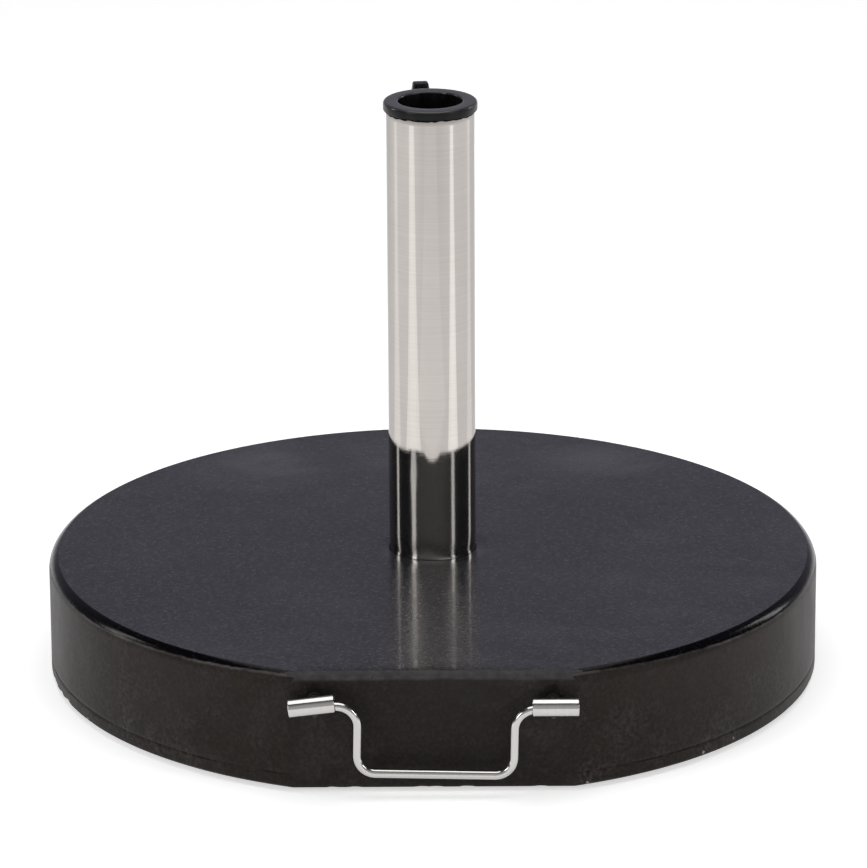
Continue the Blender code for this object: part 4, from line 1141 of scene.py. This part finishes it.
def make_bail():
    """Sweep a round section along the wire's line, with rounded ends."""
    path = [Vector((x, 0.0, z)) for x, z in bail_path()]
    around = 40
    start, end = (path[0] - path[1]).normalized(), (path[-1] - path[-2]).normalized()
    rounded = ((0.0, 0.72), (0.00025, 0.92), (0.0008, 1.0))
    stations = [(path[0] - start * back, share) for back, share in rounded]
    stations += [(point, 1.0) for point in path[1:-1]]
    stations += [(path[-1] - end * back, share) for back, share in reversed(rounded)]
    across = Vector((0.0, 1.0, 0.0))
    rows = []
    for i, (centre, share) in enumerate(stations):
        ahead = stations[min(i + 1, len(stations) - 1)][0] - stations[max(i - 1, 0)][0]
        side = ahead.normalized().cross(across)
        turns = [2.0 * math.pi * k / around for k in range(around)]
        offsets = [side * math.cos(turn) + across * math.sin(turn) for turn in turns]
        rows.append([centre + offset * WIRE_RADIUS * share for offset in offsets])
    bail = skin("bail", rows, closed=False)
    placed(bail, at(*JOINTS["handle_pivot"]["pos_m"]) @ Matrix.Rotation(BAIL_TILT, 4, "Y"))
    finish_piece(bail, "drawn", "bail_handle", "handle")


# ---- wheels
def make_wheel(side):
    half = WHEEL_WIDTH / 2.0
    rim_inner = WHEEL_RADIUS - WHEEL_RIM
    edge = 0.0004
    upper = [(AXLE_BORE_RADIUS, half - edge), (AXLE_BORE_RADIUS + edge, half)]
    upper += [(WHEEL_HUB_RADIUS - edge, half), (WHEEL_HUB_RADIUS, half - edge)]
    web = (WHEEL_HUB_RADIUS + 0.0006, *spread(0.0084, rim_inner - 0.0006, 5), rim_inner - 0.0006)
    upper += [(radius, WHEEL_WEB_HALF) for radius in web]
    upper += [(rim_inner, half - edge), (rim_inner + edge, half)]
    upper += upper_rim(WHEEL_RADIUS, half, 0.002, 5)
    tread = [(WHEEL_RADIUS, z) for z in TREAD_LINES]
    profile = upper + tread + [(WHEEL_RADIUS, -z) for _, z in reversed(tread)]
    profile += [(radius, -z) for radius, z in reversed(upper)]

    def spokes(radius, z, angle):
        if WHEEL_HUB_RADIUS + TINY < radius < rim_inner - TINY:
            pitch = 2.0 * math.pi / WHEEL_SPOKES
            closeness = abs((angle * WHEEL_SPOKES / (2.0 * math.pi) + 0.5) % 1.0 - 0.5) * pitch * radius
            raised = min(1.0, max(0.0, (0.0015 - closeness) / 0.0005))
            return radius, math.copysign(WHEEL_WEB_HALF + 0.0032 * raised, z)
        if radius > WHEEL_RADIUS - TINY and 0.0035 < abs(z) < 0.0046:
            return radius - 0.0005, z
        return radius, z

    wheel = turned(f"roller_{side}", profile, 288, ring=True, shape=spokes)
    placed(wheel, at(SIDES[side] * (WHEEL_INNER_X + half), WHEEL_Y, WHEEL_Z) @ ALONG_X)
    finish_piece(wheel, "wheel", f"wheel_{side}", f"wheel_{side}", 40.0)


def make_axle():
    axle = rounded_rod("axle", AXLE_RADIUS, -AXLE_HALF_LENGTH, AXLE_HALF_LENGTH, 0.0005)
    placed(axle, at(0.0, WHEEL_Y, WHEEL_Z) @ ALONG_X)
    finish_piece(axle, "zinc", "wheel_axle")


def make_bracket():
    """The CAD bracket itself, its flat faces joined up and its edges rounded."""
    bracket = add_object("bracket", NODES["wheel_bracket"].data.copy())
    weld(bracket, 0.00001)
    with editing(bracket) as shape:
        bmesh.ops.dissolve_limit(shape, angle_limit=math.radians(1.0), verts=shape.verts, edges=shape.edges)
    bevelled(bracket, 0.0004, 2, 50.0)
    finish_piece(bracket, "zinc", "wheel_bracket")


def make_axle_cap(side):
    sign = SIDES[side]
    inner = WHEEL_INNER_X + WHEEL_WIDTH + GAP
    depth = AXLE_HALF_LENGTH - inner + GAP
    edge = 0.0003
    profile = [(0.0, AXLE_CAP_LENGTH)] + upper_rim(AXLE_CAP_RADIUS, AXLE_CAP_LENGTH, 0.0025, 8)
    profile += [(AXLE_CAP_RADIUS, edge), (AXLE_CAP_RADIUS - edge, 0.0), (AXLE_BORE_RADIUS + edge, 0.0)]
    profile += [(AXLE_BORE_RADIUS, edge), (AXLE_BORE_RADIUS, depth), (0.0, depth)]
    face = ALONG_X if sign > 0.0 else Matrix.Rotation(-math.pi / 2.0, 4, "Y")
    cap = placed(turned(f"hub_cap_{side}", profile, 72), at(sign * inner, WHEEL_Y, WHEEL_Z) @ face)
    finish_piece(cap, "wheel", f"axle_cap_{side}")


def make_bracket_bolt(side):
    low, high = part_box(f"bracket_bolt_{side}")
    head_end = low.z + BRACKET_BOLT_HEAD
    head = hex_head(f"bracket_screw_{side}", BRACKET_BOLT_ACROSS, low.z, head_end, high_chamfer=False)
    combine(head, [cylinder("shank", BRACKET_BOLT_RADIUS, low.z + 0.002, high.z, 40)], "UNION")
    placed(head, at(SIDES[side] * BRACKET_BOLT_X, WHEEL_Y, 0.0))
    finish_piece(head, "zinc", f"bracket_bolt_{side}", angle=30.0)


def make_tube_bolt():
    low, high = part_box("tube_fixing_bolt")
    head_end = low.z + TUBE_BOLT_HEAD
    head = hex_head("tube_screw", TUBE_BOLT_ACROSS, low.z, head_end, high_chamfer=False)
    shank = threaded_rod("shank", TUBE_BOLT_RADIUS, low.z + 0.004, high.z, TUBE_BOLT_PITCH, 0.0006)
    combine(head, [shank], "UNION")
    finish_piece(head, "zinc", "tube_fixing_bolt", angle=30.0)


# ---- CAD nodes whose shape stays
KEPT = {
    "drawn": ("tube_bottom_plate",),
    "zinc": ("tube_weld_nut", "tube_spring_washer", "tube_flat_washer"),
    "rubber": ("handle_plug_left", "handle_plug_right"),
    "blackened": ("handle_grub_screw_left", "handle_grub_screw_right"),
    "brass": ("bracket_insert_left", "bracket_insert_right"),
}


def dress_kept_nodes():
    for look, names in KEPT.items():
        for name in names:
            dress(NODES[name], look)


# ---- stage, light and camera
FLOOR_HALF = 9.0
STRIP_AZIMUTHS = (-103.0, -50.0, 56.5, 117.0)       # round from the camera's side, clockwise from above
STRIP_WIDTHS = (0.24, 0.34, 0.25, 0.24)
STRIP_FLOORS = (0.30, 0.46, 0.60, 0.28)             # how much the floor glows below each strip
STRIP_HEIGHT = 0.76
STRIP_REACH = 1.7
STRIP_LENGTH = 0.70
STRIP_RADIANCE = 7.4
OVERHEAD_PLACE = (0.0, 0.2, 3.2)
OVERHEAD_SIZE = 3.0
OVERHEAD_RADIANCE = 2.05
FRONT_LIGHTS = ((0.60, 0.42), (0.44, 0.56))         # width, and where it starts in front of the tube
FRONT_FAR = 1.40


def make_floor():
    corners = [(-FLOOR_HALF, -FLOOR_HALF, 0), (FLOOR_HALF, -FLOOR_HALF, 0)]
    corners += [(FLOOR_HALF, FLOOR_HALF, 0), (-FLOOR_HALF, FLOOR_HALF, 0)]
    floor = mesh_object("floor", corners, [[0, 1, 2, 3]])
    floor.data.materials.append(floor_material())


def aimed(place, aim):
    """A matrix that stands at a place with its -Z axis towards an aim."""
    turn = (Vector(aim) - Vector(place)).to_track_quat("-Z", "Y")
    return at(*place) @ turn.to_matrix().to_4x4()


def area_light(name, matrix, size_x, size_y, radiance):
    """A flat light whose strength is given as radiance, so its size can change freely."""
    data = bpy.data.lights.new(name, "AREA")
    data.shape = "RECTANGLE"
    data.size = size_x
    data.size_y = size_y
    data.energy = radiance * math.pi * size_x * size_y
    light = add_object(name, data)
    light.matrix_world = matrix
    light.visible_camera = False


def away_from_tube(angle, reach, height):
    return at(reach * math.sin(angle), -reach * math.cos(angle), height)


def floor_light(name, angle, reach, width, length, radiance):
    """A patch of floor that glows a little more, lying along a direction out from the tube."""
    turn = Matrix.Rotation(angle, 4, "Z") @ Matrix.Rotation(math.pi, 4, "Y")
    area_light(name, away_from_tube(angle, reach, 0.004) @ turn, width, length, radiance)


def make_lights():
    down = aimed(OVERHEAD_PLACE, (*OVERHEAD_PLACE[:2], 0.0))
    area_light("overhead", down, OVERHEAD_SIZE, OVERHEAD_SIZE, OVERHEAD_RADIANCE)
    for i, (azimuth, width, glow) in enumerate(zip(STRIP_AZIMUTHS, STRIP_WIDTHS, STRIP_FLOORS)):
        angle = math.radians(azimuth)
        place = away_from_tube(angle, STRIP_REACH, STRIP_HEIGHT).translation
        stand = aimed(place, (0.0, 0.0, STRIP_HEIGHT))
        area_light(f"strip_{i}", stand, width, STRIP_LENGTH, STRIP_RADIANCE)
        for part, share in ((0.45, 1.0), (0.85, 0.85)):
            floor_light(f"floor_strip_{i}_{part}", angle, 0.85, part * width, 1.0, share * glow)
    for width, near in FRONT_LIGHTS:
        floor_light(f"floor_front_{width}", 0.0, (near + FRONT_FAR) / 2.0, width, FRONT_FAR - near, 0.10)


def make_world():
    """White at and below the horizon, and a dim room above it, brighter behind and in front."""
    world = bpy.data.worlds.new("studio")
    bpy.context.scene.world = world
    world.use_nodes = True
    tree = world.node_tree
    way = make_node(tree, "ShaderNodeTexCoord", {}).outputs["Generated"]
    rise, along = axis_part(way, "Z"), axis_part(way, "Y")
    behind = remap(along, 0.35, 0.95, smooth=True)
    front = remap(along, -0.35, -0.95, smooth=True)
    room = blend_colour(behind, (0.030, 0.030, 0.034), (0.300, 0.290, 0.355))
    room = blend_colour(front, room, (0.52, 0.516, 0.508))
    horizon = remap(rise, 0.02, 0.10, 1.0, 0.0, smooth=True)
    wire(tree.nodes["Background"].inputs["Color"], blend_colour(horizon, room, (0.95, 0.95, 0.95)))


CAMERA_PLACE = (0.0, -3.20803, 1.20673)
CAMERA_AIM = (0.000839, 0.0, 0.139804)
CAMERA_ROLL = -0.005567
CAMERA_LENS = 240.68


def make_camera():
    data = bpy.data.cameras.new("camera")
    data.lens = CAMERA_LENS
    data.sensor_fit = "HORIZONTAL"
    data.clip_start = 0.05
    data.clip_end = 60.0
    camera = add_object("camera", data)
    camera.matrix_world = aimed(CAMERA_PLACE, CAMERA_AIM) @ Matrix.Rotation(CAMERA_ROLL, 4, "Z")
    bpy.context.scene.camera = camera


make_camera()
make_slab()
make_feet()
make_tube()
make_tube_bolt()
make_collar()
make_boss()
make_boss_weld()
make_screw()
make_pad()
make_grip()
make_grip_cap()
for one_side in SIDES:
    make_sleeve(one_side)
    make_stud(one_side)
make_bail()
for one_side in SIDES:
    make_wheel(one_side)
make_axle()
make_bracket()
for one_side in SIDES:
    make_axle_cap(one_side)
    make_bracket_bolt(one_side)
dress_kept_nodes()
make_floor()
make_lights()
make_world()
bpy.context.scene.view_settings.view_transform = "Standard"
